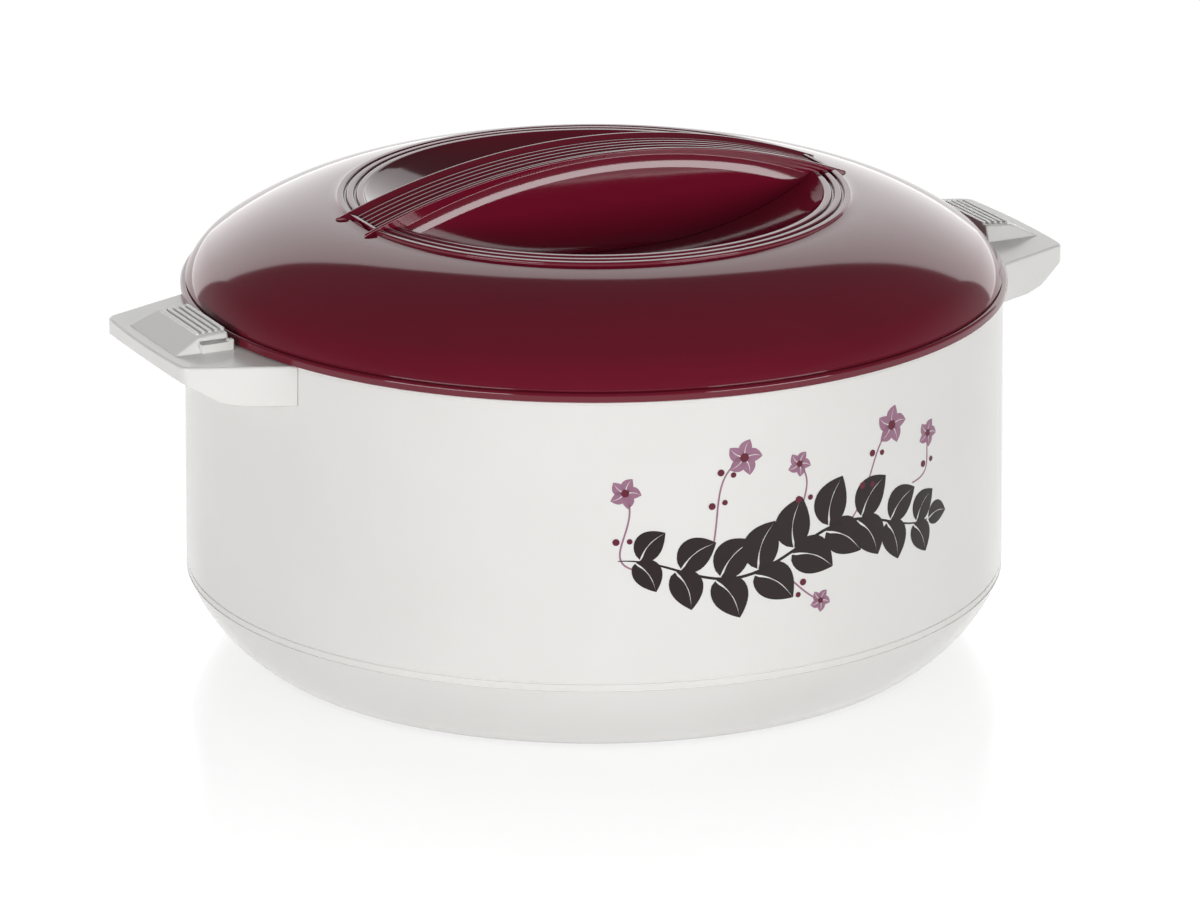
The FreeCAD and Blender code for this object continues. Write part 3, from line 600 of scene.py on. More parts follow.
@dataclass
class Drum:
    """The white body: drafted wall, base with its seam band, and the rim collar.

    Sizes are in millimetres, and heights are above the foot.
    """

    foot_r: float = 119.8
    top_r: float = 118.7
    wall_t: float = 2.5
    seam_z: float = 24.8
    band_h: float = 2.4
    groove: float = 0.5
    groove_deep: float = 0.45
    edge_round: float = 0.3
    hole_r: float = 7.0
    floor_z: float = 2.5
    floor_t: float = 2.5
    ring_in_r: float = 94.0
    ring_out_r: float = 98.6
    spigot_r: float = 117.0
    spigot_in_r: float = 115.0
    side_through: Point = (111.7, 8.9)
    side_end: Point = (102.2, 0.6)
    bowl: tuple[Point, Point, Point] = ((96.5, 5.0), (108.8, 11.0), (114.6, 19.5))

    @cached_property
    def top_z(self) -> float:
        """Height of the wall's top in millimetres."""
        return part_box("outer_shell")[1].z / MM

    def wall_r(self, z: float) -> float:
        """Return the outside radius of the wall at a height, in millimetres."""
        share = (z - self.seam_z) / (self.top_z - self.seam_z)
        return self.foot_r + (self.top_r - self.foot_r) * share

    def turned(
        self, section: list[Corner], name: str, node: str, white: bpy.types.Material
    ) -> None:
        """Turn a closed section into a white piece of the base.

        Args:
            section: The section's corners.
            name: The piece's name.
            node: The CAD node that it stands for.
            white: The gloss white plastic.
        """
        piece = finished(spun(rounded(section, closed=True), closed=True), name)
        weighted(piece)
        settle(piece, white, Body.BASE, (node,))

    def wall(self, white: bpy.types.Material) -> None:
        """Model the drafted wall.

        Args:
            white: The gloss white plastic.
        """
        low, high = self.seam_z, self.top_z
        section = [
            corner_mm(self.foot_r, low, self.edge_round), corner_mm(self.top_r, high, 0.2),
            corner_mm(self.top_r - self.wall_t, high, 0.2),
            corner_mm(self.foot_r - self.wall_t, low, 0.2),
        ]
        self.turned(section, "wall", "outer_shell", white)

    def base(self, white: bpy.types.Material) -> None:
        """Model the base: seam band, rounded side, foot ring and the spigot inside the wall.

        Args:
            white: The gloss white plastic.
        """
        band_z = self.seam_z - self.band_h
        spigot_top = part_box("base_cup")[1].z / MM
        start, through, end = (self.foot_r, band_z), self.side_through, self.side_end
        outside = arc_points(mm(*start), mm(*through), mm(*end), 28)
        inside = arc_points(*(mm(*point) for point in self.bowl), 12)
        groove_r = self.foot_r - self.groove_deep
        section = [
            corner_mm(self.hole_r, self.floor_z),
            corner_mm(self.ring_in_r - 1.6, self.floor_z, 0.8),
            corner_mm(self.ring_in_r, 0.0, 0.4), corner_mm(self.ring_out_r, 0.0, 2.0),
            *outside[::-1],
            corner_mm(groove_r, band_z, 0.1), corner_mm(groove_r, band_z + self.groove, 0.1),
            corner_mm(self.foot_r, band_z + self.groove, 0.25),
            corner_mm(self.foot_r, self.seam_z - 0.35, 0.3),
            corner_mm(groove_r, self.seam_z - 0.3, 0.1), corner_mm(groove_r, self.seam_z),
            corner_mm(self.spigot_r, self.seam_z), corner_mm(self.spigot_r, spigot_top, 0.5),
            corner_mm(self.spigot_in_r, spigot_top, 0.3), *inside[::-1],
            corner_mm(self.hole_r, self.floor_z + self.floor_t),
        ]
        self.turned(section, "base", "base_cup", white)

    def kept(self, white: bpy.types.Material, satin: bpy.types.Material) -> None:
        """Dress the frame's collar and plug.

        Args:
            white: The gloss white plastic.
            satin: The satin white plastic.
        """
        dress(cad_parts["rim_collar"], white)
        dress(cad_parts["fill_plug"], satin)


@dataclass(frozen=True)
class Sprig:
    """One thin printed stem that rises from the garland and ends in a flower.

    Attributes:
        root: Start of the stem, along the wall and above the middle of the print, in millimetres.
        lean: First handle of the curve, from the root.
        pull: Second handle of the curve, from the flower.
        bloom: Middle of the flower.
        petal: Length of a petal.
        berries: Places along the stem that carry a berry, from 0 to 1.
    """

    root: Point
    lean: Point
    pull: Point
    bloom: Point
    petal: float
    berries: tuple[float, ...]


SPRIGS = (
    Sprig((-47.0, -9.0), (-9.0, 3.0), (5.0, -9.0), (-49.0, 13.0), 4.6, (0.45,)),
    Sprig((-24.0, -3.0), (2.0, 12.0), (-9.0, -4.0), (-15.0, 21.0), 5.4, (0.35, 0.7)),
    Sprig((3.0, -7.0), (-5.0, 10.0), (7.0, -8.0), (2.0, 17.0), 3.8, (0.5,)),
    Sprig((20.0, -2.0), (8.0, 9.0), (-8.0, -5.0), (35.0, 22.0), 5.8, (0.3, 0.62)),
    Sprig((44.0, 3.0), (9.0, 1.0), (-1.0, -8.0), (51.0, 16.0), 4.2, (0.5,)),
    Sprig((-8.0, -10.0), (8.0, -6.0), (-6.0, 3.0), (9.0, -24.0), 3.4, (0.55,)),
)


@dataclass
class WallPrint:
    """A generic garland of leaves and small flowers, pad-printed on the front of the wall.

    Places are in millimetres: along the wall from the middle of the print, and above it.
    """

    drum: Drum
    middle_deg: float = -88.6
    middle_z: float = 67.0
    reach: float = 51.0
    leaf: float = 15.5
    leaf_w: float = 5.6
    leaf_count: int = 9
    midrib: float = 0.35
    stem_w: float = 0.85
    sprig_w: float = 0.5
    film: float = 0.03

    def wrapped(self, sheet: bmesh.types.BMesh, layer: int, name: str) -> bpy.types.Object:
        """Wrap a flat sheet of ink round the wall and give it its film's thickness.

        Args:
            sheet: The ink in the XZ plane, in millimetres.
            layer: Number of films below this one.
            name: The piece's name.

        Returns:
            The printed piece.
        """
        bmesh.ops.recalc_face_normals(sheet, faces=sheet.faces)
        whole = [*sheet.verts, *sheet.edges, *sheet.faces]
        bmesh.ops.solidify(sheet, geom=whole, thickness=self.film)
        for vert in sheet.verts:
            along, across, up = vert.co
            height = self.middle_z + up
            radius = self.drum.wall_r(height) + self.film * (layer + 0.7) + abs(across)
            angle = math.radians(self.middle_deg) + along / self.drum.foot_r
            vert.co = Vector((math.cos(angle) * radius, math.sin(angle) * radius, height)) * MM
        return finished(sheet, name)

    def ribbon(
        self, sheet: bmesh.types.BMesh, path: list[Vector], half_widths: list[float]
    ) -> None:
        """Lay a flat ribbon along a path.

        Args:
            sheet: The bmesh that takes it.
            path: Points of its middle line in the XZ plane.
            half_widths: Half width at each point.
        """
        steps = len(path) - 1
        made = bmesh.ops.create_grid(sheet, x_segments=steps, y_segments=2, size=1.0)
        for vert in made["verts"]:
            n = round((vert.co.x + 1) / 2 * steps)
            heading = (path[min(n + 1, steps)] - path[max(n - 1, 0)]).normalized()
            side = Vector((-heading.z, 0.0, heading.x))
            vert.co = path[n] + side * half_widths[n] * vert.co.y

    def stem(self, along: float) -> Vector:
        """Return the point of the garland's stem at this place along the wall."""
        wave = math.sin(along / self.reach * 1.5 * math.pi)
        return Vector((along, 0.0, -8.0 + 4.5 * wave + 0.06 * along))

    def half_leaves(
        self, sheet: bmesh.types.BMesh, root: Vector, heading: float, length: float
    ) -> None:
        """Lay one leaf as two halves with a bare midrib between them.

        Args:
            sheet: The bmesh that takes it.
            root: Where the leaf leaves its stem.
            heading: Its direction in radians.
            length: Its length in millimetres.
        """
        steps = 14
        ahead = Vector((math.cos(heading), 0.0, math.sin(heading)))
        aside = Vector((-ahead.z, 0.0, ahead.x))
        for side in (-1, 1):
            path, widths = [], []
            for n in range(steps + 1):
                t = n / steps
                half = self.leaf_w / 2 * length / self.leaf * math.sin(math.pi * t ** 0.8) ** 0.9
                half = max(half - 0.02, 0.02)
                bend = 0.1 * length * math.sin(math.pi * t)
                gap = self.midrib / 2 * (1 - t)
                along = ahead * length * (0.06 + 0.94 * t)
                path.append(root + along + aside * (bend + side * (half + gap)))
                widths.append(half)
            self.ribbon(sheet, path, widths)

    def garland(self) -> bmesh.types.BMesh:
        """Return the dark stem with its leaves, laid flat."""
        sheet = bmesh.new()
        steps = 72
        shares = [2 * n / steps - 1 for n in range(steps + 1)]
        path = [self.stem(self.reach * share) for share in shares]
        widths = [self.stem_w / 2 * (1 - 0.7 * abs(share) ** 3) for share in shares]
        self.ribbon(sheet, path, widths)
        for n in range(self.leaf_count):
            along = self.reach * (2 * (n + 0.4) / self.leaf_count - 1)
            ahead = self.stem(along + 1) - self.stem(along)
            heading = math.atan2(ahead.z, ahead.x)
            fullness = 1 - 0.35 * abs(along / self.reach) ** 2
            for side, opening in ((-1, 0.85), (1, 0.95)):
                root = self.stem(along + (1.2 if side > 0 else 0.0))
                self.half_leaves(sheet, root, heading + side * opening, self.leaf * fullness)
        tip = self.stem(self.reach)
        ahead = tip - self.stem(self.reach - 1)
        self.half_leaves(sheet, tip, math.atan2(ahead.z, ahead.x), self.leaf * 0.6)
        return sheet

    def sprigs(self) -> tuple[bmesh.types.BMesh, bmesh.types.BMesh]:
        """Return the thin stems with their flowers, and the berries with the flowers' hearts."""
        stems, berries = bmesh.new(), bmesh.new()
        for sprig in SPRIGS:
            root, bloom = Vector(sprig.root), Vector(sprig.bloom)
            curve = geometry.interpolate_bezier(
                root, root + Vector(sprig.lean), bloom + Vector(sprig.pull), bloom, 28
            )
            path = [Vector((point.x, 0.0, point.y)) for point in curve]
            self.ribbon(stems, path, [self.sprig_w / 2] * len(path))
            heart = path[-1]
            for petal in range(5):
                heading = math.radians(90 + 72 * petal + sprig.petal * 10)
                self.half_leaves(stems, heart, heading, sprig.petal)
            self.berry(berries, heart, sprig.petal * 0.24)
            for share in sprig.berries:
                n = round(share * (len(path) - 1))
                heading = (path[n + 1] - path[n]).normalized()
                side = Vector((-heading.z, 0.0, heading.x))
                self.berry(berries, path[n] + side * 1.7, 1.0)
                self.berry(berries, path[n] - side * 1.9 + heading * 1.2, 0.8)
        return stems, berries

    def berry(self, sheet: bmesh.types.BMesh, centre: Vector, radius: float) -> None:
        """Lay one round berry in the XZ plane."""
        upright = Matrix.Translation(centre) @ Matrix.Rotation(math.pi / 2, 4, "X")
        bmesh.ops.create_circle(sheet, cap_ends=True, radius=radius, segments=28, matrix=upright)

    def build(self) -> None:
        """Print the three inks."""
        stems, berries = self.sprigs()
        inks = (
            (stems, "print_sprigs", INK_MAUVE), (self.garland(), "print_garland", INK_DARK),
            (berries, "print_berries", INK_MAROON),
        )
        for layer, (sheet, name, ink) in enumerate(inks):
            piece = self.wrapped(sheet, layer, name)
            settle(piece, ink.build(), Body.BASE)


@dataclass
class DomedLid:
    """The burgundy lid: flange bead, dome, ring beads and the sunk dish.

    Sizes are in millimetres, and heights are above the flange's lower edge.
    """

    flange_r: float = 120.0
    flange_h: float = 2.4
    shell_t: float = 2.4
    ring_out_r: float = 74.5
    ring_w: float = 2.05
    ring_pitch: float = 2.9
    ring_count: int = 3
    ring_crest: float = 26.5
    ring_floor: float = 25.5
    ring_round: float = 0.95
    dish_r: float = 66.0
    dish_flat_r: float = 12.0
    dish_low: float = 12.0
    dish_arc_r: float = 112.0
    neck_r: float = 118.1
    shoulder: tuple[Point, Point, Point] = ((118.6, 3.2), (115.94, 7.86), (112.0, 11.5))
    crown: tuple[Point, Point, Point] = ((112.0, 11.5), (94.58, 20.6), (75.6, 25.1))
    inner_crown: tuple[Point, Point, Point] = ((74.8, 23.3), (93.7, 18.3), (110.5, 9.6))
    inner_shoulder: tuple[Point, Point, Point] = ((110.5, 9.6), (113.9, 6.5), (116.3, 2.3))
    skirt_in_r: float = 117.6
    notch_in: float = 62.5
    notch_half_w: float = 10.1
    notch_low: float = 24.4

    @cached_property
    def base_z(self) -> float:
        """Height of the flange's lower edge in millimetres."""
        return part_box("lid_shell")[0].z / MM

    def dish_z(self, r: float) -> float:
        """Return the dish's height above the flange at a radius, in millimetres."""
        across = max(0.0, r - self.dish_flat_r)
        return self.dish_low + self.dish_arc_r - math.sqrt(self.dish_arc_r ** 2 - across ** 2)

    def at(self, r: float, z: float, radius: float = 0.0) -> Corner:
        """Return a corner from a radius and a height above the flange, in millimetres."""
        return corner_mm(r, z + self.base_z, radius)

    def arc(self, start: Point, through: Point, end: Point, steps: int) -> list[Corner]:
        """Return an arc through three points given as radius and height above the flange."""
        up = self.base_z
        return arc_points(*(mm(r, z + up) for r, z in (start, through, end)), steps)

    def rings(self) -> list[Corner]:
        """Return the section of the ring beads, from the outermost inward."""
        section: list[Corner] = []
        for n in range(self.ring_count):
            outer = self.ring_out_r - n * self.ring_pitch
            inner = outer - self.ring_w
            crest = self.ring_crest + 0.1 * n
            section += [
                self.at(outer + 0.1, self.ring_floor, 0.25),
                self.at(outer, crest, self.ring_round), self.at(inner, crest, self.ring_round),
            ]
            if n < self.ring_count - 1:
                section.append(self.at(inner - 0.1, self.ring_floor, 0.25))
        return section

    def outside(self) -> list[Corner]:
        """Return the outer section from the flange's lower edge to the middle of the dish."""
        middle = (self.dish_r + self.dish_flat_r) / 2
        shoulder, crown = self.arc(*self.shoulder, 14), self.arc(*self.crown, 22)
        step = self.flange_h
        dish = self.arc(
            (self.dish_r, self.dish_z(self.dish_r)), (middle, self.dish_z(middle)),
            (self.dish_flat_r, self.dish_low), 30,
        )
        return [
            self.at(self.flange_r, 0.0, 0.5), self.at(self.flange_r, step, 0.9),
            self.at(self.neck_r, step + 0.1, 0.12), self.at(self.neck_r, step + 0.6, 0.12),
            *shoulder, *crown[1:], *self.rings(), *dish, self.at(0.0, self.dish_low),
        ]

    def inside(self) -> list[Corner]:
        """Return the inner section from the middle of the dish back to the flange."""
        drop = self.shell_t
        middle = (self.dish_r + self.dish_flat_r) / 2
        dish = self.arc(
            (self.dish_flat_r, self.dish_low - drop), (middle + 0.6, self.dish_z(middle) - drop),
            (self.dish_r + 1.1, self.dish_z(self.dish_r) - drop + 0.3), 12,
        )
        crown = self.arc(*self.inner_crown, 10)
        shoulder = self.arc(*self.inner_shoulder, 6)
        inner_low = self.inner_shoulder[-1][1]
        return [
            self.at(0.0, self.dish_low - drop), *dish, *crown, *shoulder[1:],
            self.at(self.skirt_in_r, inner_low, 0.2), self.at(self.skirt_in_r, 0.0, 0.2),
        ]

    def build(self, burgundy: bpy.types.Material) -> None:
        """Model the lid shell and notch its beads for the handle.

        Args:
            burgundy: The gloss burgundy plastic.
        """
        section = rounded([*self.outside(), *self.inside()], closed=False)
        closed_section = [*section, section[0]]
        shell = finished(spun(closed_section, closed=False), "lid_dome")
        half, floor = self.notch_half_w, self.base_z + self.notch_low
        for side in (-1, 1):
            near, far = sorted((side * self.notch_in, side * self.ring_out_r))
            carve(shell, block("notch", mm(near, -half, floor), mm(far, half, floor + 5.6)))
        shade(shell.data, 40)
        weighted(shell)
        settle(shell, burgundy, Body.LID, ("lid_shell",))


@dataclass
class BridgeHandle:
    """The bridge handle: an arched body under a flatter ribbed plate with forked ends.

    Sizes are in millimetres. Section heights are radii from the centre of each arch, and
    bar_top is above the flange's lower edge.
    """

    crown: float = 40.3
    arch_r: float = 208.0
    body_r: float = 176.0
    plate_t: float = 3.4
    half_w: float = 10.0
    strip_w: float = 1.9
    strip_drop: float = 0.9
    track_half_w: float = 7.6
    track_end: float = 73.7
    tip: float = 77.6
    strip_h: float = 1.3
    shoulder_w: float = 1.36
    shoulder_h: float = 4.19
    shoulder_through: Point = (0.83, 2.05)
    draft_deg: float = 5.0
    rib_count: int = 5
    rib_pitch: float = 2.8
    rib_w: float = 0.6
    rib_h: float = 0.8
    fork_half_w: float = 6.35
    fork_deep: float = 20.0
    bar_w: float = 0.9
    bar_top: float = 26.6
    foot_sink: float = 6.0
    seat_r: float = 63.03
    steps: int = 160

    def plate(self) -> list[Corner]:
        """Return the closed section of the ribbed plate, in metres from the arch's centre."""
        top, half = self.arch_r, self.half_w
        track = top - self.strip_drop
        side = [
            corner_mm(half, top - self.plate_t), corner_mm(half, top, 0.4),
            corner_mm(half - self.strip_w / 2, top, 0.3),
        ]
        valley, floor = self.rib_pitch / 2 - 0.1, track - self.rib_h
        ribs: list[Corner] = [corner_mm(self.track_half_w, track, 0.15)]
        for n in range(self.rib_count):
            centre = ((self.rib_count - 1) / 2 - n) * self.rib_pitch
            ribs += [
                corner_mm(centre + valley, floor, 0.05),
                corner_mm(centre + self.rib_w / 2, track, 0.2),
                corner_mm(centre - self.rib_w / 2, track, 0.2),
                corner_mm(centre - valley, floor, 0.05),
            ]
        ribs.append(corner_mm(-self.track_half_w, track, 0.15))
        other = [Corner(-c.x, c.z, c.radius) for c in reversed(side)]
        return [*side, *ribs, *other]

    def body(self, foot_r: float) -> list[Corner]:
        """Return the section of the body under the plate, from one foot to the other.

        Args:
            foot_r: Radius of the walls' lower edge in millimetres.

        Returns:
            The section's corners in metres.
        """
        neck_w, neck_r = self.half_w - 0.1, self.body_r - self.strip_h
        wall_w, wall_r = neck_w + self.shoulder_w, neck_r - self.shoulder_h
        out, down = self.shoulder_through
        middle = mm(neck_w + out, neck_r - down)
        foot_w = wall_w + (wall_r - foot_r) * math.tan(math.radians(self.draft_deg))
        side = [
            corner_mm(foot_w, foot_r), corner_mm(wall_w, wall_r),
            *arc_points(mm(wall_w, wall_r), middle, mm(neck_w, neck_r), 10)[1:],
        ]
        return [*side, *(Corner(-c.x, c.z, c.radius) for c in reversed(side))]

    def sweep(self, points: list[Point], arch_r: float, name: str) -> bpy.types.Object:
        """Sweep a closed section along an arch that reaches both tips.

        Args:
            points: Half width and arch radius of each point, in metres.
            arch_r: Radius of the arch in millimetres.
            name: The object's name.

        Returns:
            The closed sweep.
        """
        centre_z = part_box("lid_shell")[0].z + (self.crown - arch_r) * MM
        centre = Vector((0.0, 0.0, centre_z))
        half_angle = math.asin(self.tip / arch_r)
        swept = bmesh.new()
        verts = [swept.verts.new((0.0, w, r)) for w, r in points]
        face = swept.faces.new(verts)
        bmesh.ops.translate(swept, vec=centre, verts=swept.verts)
        bmesh.ops.rotate(
            swept, cent=centre, matrix=Matrix.Rotation(-half_angle, 3, "Y"), verts=swept.verts
        )
        bmesh.ops.spin(
            swept, geom=[face, *face.edges, *face.verts], cent=centre, axis=(0, 1, 0),
            dvec=(0, 0, 0), angle=2 * half_angle, steps=self.steps, use_duplicate=False,
        )
        return finished(swept, name, 35)

    def fork(self, handle: bpy.types.Object, side: int, up: float) -> None:
        """Fork one end of the handle and close its track with the cross bar.

        Args:
            handle: The handle.
            side: -1 for the left end, 1 for the right end.
            up: Height of the flange's lower edge in millimetres.
        """
        end, half, bar_half = self.track_end, self.fork_half_w, self.track_half_w + 0.6
        near, far = sorted((side * end, side * (end + self.fork_deep)))
        wedge = block("fork", mm(near, -half, up), mm(far, half, up + 50))
        for vertex in wedge.data.vertices:
            if abs(vertex.co.x) > (end + 1) * MM:
                vertex.co.y *= 1 + self.fork_deep / half
        carve(handle, wedge)
        near, far = sorted((side * (end - self.bar_w), side * end))
        low, high = mm(near, -bar_half, up + 23), mm(far, bar_half, up + self.bar_top)
        carve(handle, block("cross_bar", low, high), "UNION")

    def build(self, lid: DomedLid, burgundy: bpy.types.Material) -> None:
        """Model the handle, seated on the dish.

        Args:
            lid: The lid that carries it.
            burgundy: The gloss burgundy plastic.
        """
        foot_r = lid.dish_low - self.foot_sink - (self.crown - self.body_r)
        handle = self.sweep(rounded(self.body(foot_r), closed=False), self.body_r, "handle")
        plate = self.sweep(rounded(self.plate(), closed=False, steps=4), self.arch_r, "plate")
        carve(handle, plate, "UNION")
        for side in (-1, 1):
            self.fork(handle, side, lid.base_z)
        carve(handle, self.seat(lid))
        shade(handle.data, 32)
        weighted(handle)
        settle(handle, burgundy, Body.LID, ("lid_handle",))

    def seat(self, lid: DomedLid, gap: float = 0.12) -> bpy.types.Object:
        """Return the solid below the handle, which leaves a fine seam at its foot.

        Args:
            lid: The lid that carries the handle.
            gap: Width of the seam in millimetres.

        Returns:
            The cutting solid.
        """
        edge_r = self.seat_r
        middle = (edge_r + lid.dish_flat_r) / 2
        dish = lid.arc(
            (edge_r, lid.dish_z(edge_r) + gap), (middle, lid.dish_z(middle) + gap),
            (lid.dish_flat_r, lid.dish_low + gap), 30,
        )
        ledge = lid.dish_z(edge_r) + gap
        section = [
            lid.at(0.0, -60.0), lid.at(100.0, -60.0), lid.at(100.0, ledge),
            *dish, lid.at(0.0, lid.dish_low + gap),
        ]
        return finished(spun(rounded(section, closed=False), closed=False), "seat")


@dataclass
class SideLugs:
    """The two white lugs, which keep the frame's solids."""

    nodes: tuple[str, str] = ("lug_left", "lug_right")

    def dress(self, white: bpy.types.Material) -> None:
        """Dress both lugs.

        Args:
            white: The white plastic.
        """
        for node in self.nodes:
            dress(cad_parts[node], white)
            LOG.info("%s dressed", node)


@dataclass
class InnerWorks:
    """The pieces inside: pot, foams, seal, liner and screws, which keep the frame's solids."""

    def dress(self, white: bpy.types.Material) -> None:
        """Dress each inner piece in its own finish.

        Args:
            white: The white plastic of the liner.
        """
        finishes = {
            "inner_pot": SpunSteel().build(),
            "body_foam": RigidFoam().build(),
            "lid_seal": SealSilicone().build(),
            "lug_screws": PlatedSteel().build(),
            "lid_liner": white,
        }
        finishes["lid_foam"] = finishes["body_foam"]
        finishes["handle_screws"] = finishes["lug_screws"]
        for node, material in finishes.items():
            dress(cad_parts[node], material)
            LOG.info("%s dressed", node)


# Studio


@dataclass(frozen=True)
class SoftBox:
    """One soft box, placed by the direction in which the casserole sees it.

    Attributes:
        name: The lamp's name.
        azimuth_deg: Angle to the right of the camera's side, about the upright axis.
        elevation_deg: Angle above the floor.
        distance: Distance from the middle of the casserole's foot, in metres.
        width: Width in metres.
        height: Height in metres.
        radiance: Brightness of its face, where 1 is a white page.
        shape: RECTANGLE or ELLIPSE.
    """

    name: str
    azimuth_deg: float
    elevation_deg: float
    distance: float
    width: float
    height: float
    radiance: float
    shape: str = "RECTANGLE"


SOFT_BOXES = (
    SoftBox("softbox_left", -39.0, 11.5, 2.6, 1.6, 0.72, 8.4),
    SoftBox("softbox_right", 48.0, 11.5, 2.6, 1.6, 0.72, 8.4),
    SoftBox("backlight", 180.0, 0.0, 2.6, 4.3, 4.6, 1.4, "ELLIPSE"),
)


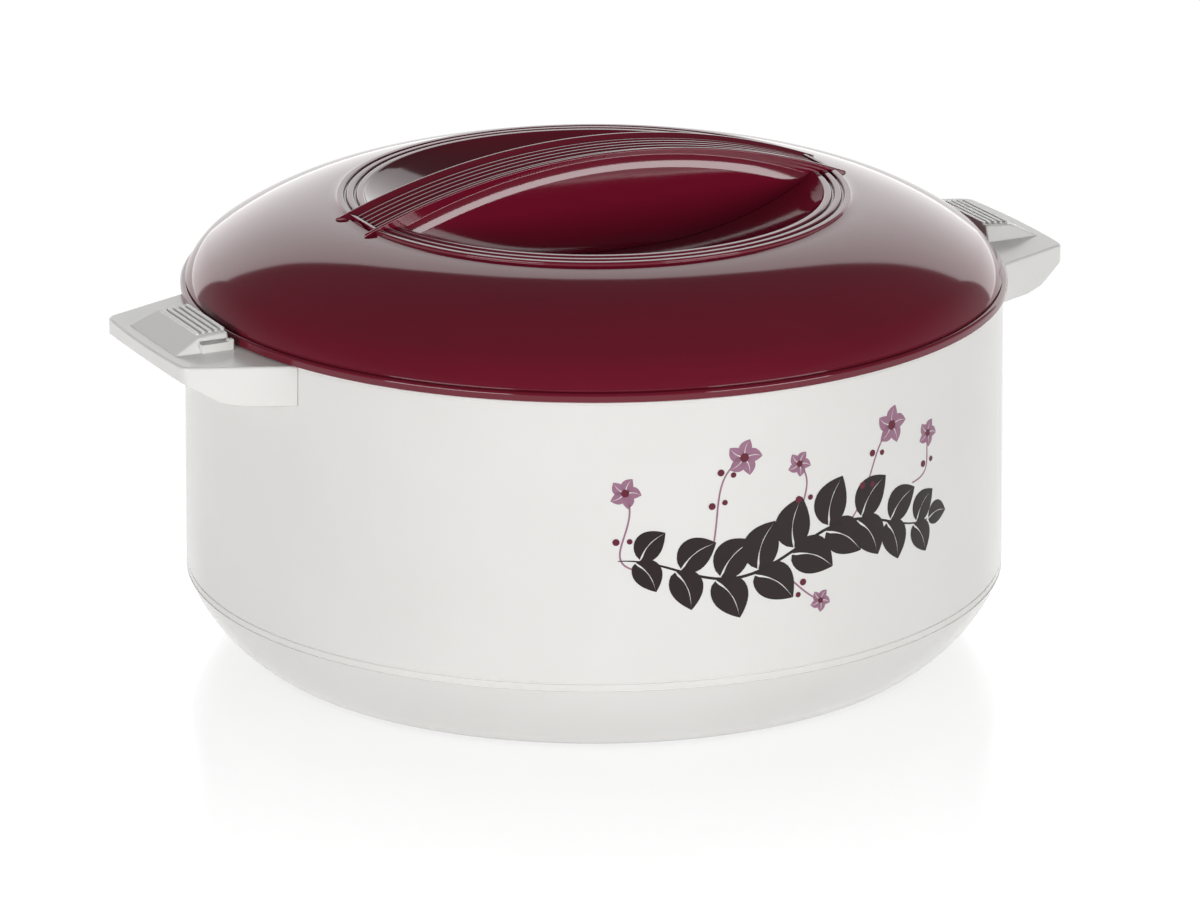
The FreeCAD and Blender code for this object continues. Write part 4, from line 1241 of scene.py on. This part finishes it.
@dataclass
class Studio:
    """Pale floor, soft lights and the camera at the photograph's angle."""

    azimuth_deg: float = -26.2
    elevation_deg: float = 17.95
    distance_mm: float = 1902.3
    lens_mm: float = 194.7
    aim_right_mm: float = 1.76
    aim_up_mm: float = 54.1
    room_low: float = 0.42
    room_high: float = 0.15
    floor_share: float = 0.78
    floor_glow: float = 1.2
    floor_roughness: float = 0.12
    floor_ior: float = 2.1
    polish_r: tuple[float, float] = (0.09, 0.24)

    def camera(self) -> None:
        """Place the camera."""
        azimuth, elevation = math.radians(self.azimuth_deg), math.radians(self.elevation_deg)
        right = Vector((math.cos(azimuth), math.sin(azimuth), 0.0))
        back = Vector((
            math.sin(azimuth) * math.cos(elevation),
            -math.cos(azimuth) * math.cos(elevation),
            math.sin(elevation),
        ))
        aim = right * self.aim_right_mm * MM + Vector((0, 0, self.aim_up_mm * MM))
        data = bpy.data.cameras.new("camera")
        data.lens = self.lens_mm
        data.sensor_width = 36.0
        data.clip_start, data.clip_end = 0.05, 50.0
        view = bpy.data.objects.new("camera", data)
        view.location = aim + back * self.distance_mm * MM
        view.rotation_mode = "QUATERNION"
        view.rotation_quaternion = (-back).to_track_quat("-Z", "Y")
        bpy.context.scene.collection.objects.link(view)
        bpy.context.scene.camera = view

    def floor(self) -> None:
        """Lay the polished white floor, which keeps the shadow and is clear from below."""
        plane = bmesh.new()
        bmesh.ops.create_grid(plane, x_segments=1, y_segments=1, size=6.0)
        floor = finished(plane, "floor")
        recipe = Recipe("studio_floor_white", {
            "Base Color": srgb("#F2F2F2"), "Roughness": 0.5, "Specular IOR Level": 0.0,
        })
        tree = recipe.tree
        glow = add_node(tree, "ShaderNodeEmission", values={"Strength": self.floor_glow})
        share = self.seen_directly(tree, self.floor_share)
        white = self.mixed(tree, share, recipe.shader, glow)
        polish = add_node(tree, "ShaderNodeBsdfGlossy", values={"Roughness": self.floor_roughness})
        edge_on = add_node(tree, "ShaderNodeFresnel", values={"IOR": self.floor_ior})
        reach = add_node(
            tree, "ShaderNodeVectorMath", {"operation": "LENGTH"}, links={0: recipe.place}
        )
        fade = add_node(
            tree, "ShaderNodeMapRange", {"interpolation_type": "SMOOTHSTEP"},
            {"From Min": self.polish_r[0], "From Max": self.polish_r[1],
             "To Min": 1.0, "To Max": 0.0},
            {"Value": reach.outputs["Value"]},
        )
        mirror = add_node(
            tree, "ShaderNodeMath", {"operation": "MULTIPLY"},
            links={0: edge_on.outputs["Fac"], 1: fade.outputs["Result"]},
        )
        whole = self.mixed(tree, mirror.outputs[0], white, polish)
        below = add_node(tree, "ShaderNodeNewGeometry").outputs["Backfacing"]
        clear = add_node(tree, "ShaderNodeBsdfTransparent")
        sheet = self.mixed(tree, below, whole, clear)
        tree.links.new(sheet.outputs[0], tree.nodes["Material Output"].inputs["Surface"])
        dress(floor, recipe.material)

    @staticmethod
    def mixed(
        tree: bpy.types.NodeTree, factor: bpy.types.NodeSocket, *shaders: bpy.types.Node
    ) -> bpy.types.Node:
        """Mix two shaders by a factor: 0 is the first, 1 the second."""
        links = {"Fac": factor, 1: shaders[0].outputs[0], 2: shaders[1].outputs[0]}
        return add_node(tree, "ShaderNodeMixShader", links=links)

    def seen_directly(self, tree: bpy.types.NodeTree, share: float) -> bpy.types.NodeSocket:
        """Return a factor that is this share for camera, mirror and glass rays, else 0.

        Args:
            tree: The node tree.
            share: The factor's value for these rays.

        Returns:
            The socket with the factor.
        """
        path = add_node(tree, "ShaderNodeLightPath").outputs
        seen = path["Is Camera Ray"]
        for kind in ("Is Glossy Ray", "Is Transmission Ray"):
            larger = add_node(
                tree, "ShaderNodeMath", {"operation": "MAXIMUM"}, links={0: seen, 1: path[kind]}
            )
            seen = larger.outputs[0]
        return add_node(
            tree, "ShaderNodeMath", {"operation": "MULTIPLY"}, {1: share}, {0: seen}
        ).outputs[0]

    def lamp(self, box: SoftBox) -> None:
        """Hang one soft box that points at the casserole.

        Args:
            box: The soft box.
        """
        data = bpy.data.lights.new(box.name, "AREA")
        data.shape = box.shape
        data.size, data.size_y = box.width, box.height
        fill = math.pi / 4 if box.shape == "ELLIPSE" else 1.0
        data.energy = box.radiance * math.pi * box.width * box.height * fill
        turn = math.radians(self.azimuth_deg - 90 + box.azimuth_deg)
        rise = math.radians(box.elevation_deg)
        toward = Vector((
            math.cos(turn) * math.cos(rise), math.sin(turn) * math.cos(rise), math.sin(rise),
        ))
        lamp = bpy.data.objects.new(box.name, data)
        lamp.location = toward * box.distance
        lamp.rotation_mode = "QUATERNION"
        lamp.rotation_quaternion = (-toward).to_track_quat("-Z", "Y")
        lamp.visible_camera = False
        bpy.context.scene.collection.objects.link(lamp)

    def world(self) -> None:
        """Set a white surround for the camera and a dim room, darker overhead, for the light."""
        world = bpy.data.worlds.new("studio")
        bpy.context.scene.world = world
        world.use_nodes = True
        tree = world.node_tree
        tree.nodes.clear()
        direction = add_node(tree, "ShaderNodeTexCoord").outputs["Generated"]
        height = add_node(tree, "ShaderNodeSeparateXYZ", links={"Vector": direction}).outputs["Z"]
        fall = add_node(
            tree, "ShaderNodeMapRange", {"interpolation_type": "SMOOTHSTEP"},
            {"From Min": 0.0, "From Max": 0.6, "To Min": self.room_low, "To Max": self.room_high},
            {"Value": height},
        )
        around = add_node(
            tree, "ShaderNodeBackground", values={"Color": srgb("#FFFFFF")},
            links={"Strength": fall.outputs["Result"]},
        )
        seen = add_node(
            tree, "ShaderNodeBackground", values={"Color": srgb("#FFFFFF"), "Strength": 1.0}
        )
        path = add_node(tree, "ShaderNodeLightPath")
        mix = self.mixed(tree, path.outputs["Is Camera Ray"], around, seen)
        add_node(tree, "ShaderNodeOutputWorld", links={"Surface": mix.outputs[0]})

    def build(self) -> None:
        """Set the whole studio."""
        bpy.context.scene.view_settings.view_transform = "Standard"
        self.camera()
        self.floor()
        self.world()
        for box in SOFT_BOXES:
            self.lamp(box)


def main() -> None:
    """Build the casserole and its studio."""
    logging.basicConfig(level=logging.INFO, format="%(name)s: %(message)s")
    white = WHITE_GLOSS.build()
    satin = WHITE_SATIN.build()
    burgundy = BURGUNDY_GLOSS.build()
    drum = Drum()
    drum.wall(white)
    drum.base(white)
    drum.kept(white, satin)
    WallPrint(drum).build()
    SideLugs().dress(WHITE_SOFT_EDGE.build())
    lid = DomedLid()
    lid.build(burgundy)
    BridgeHandle().build(lid, burgundy)
    InnerWorks().dress(satin)
    Studio().build()


if __name__ == "__main__":
    main()
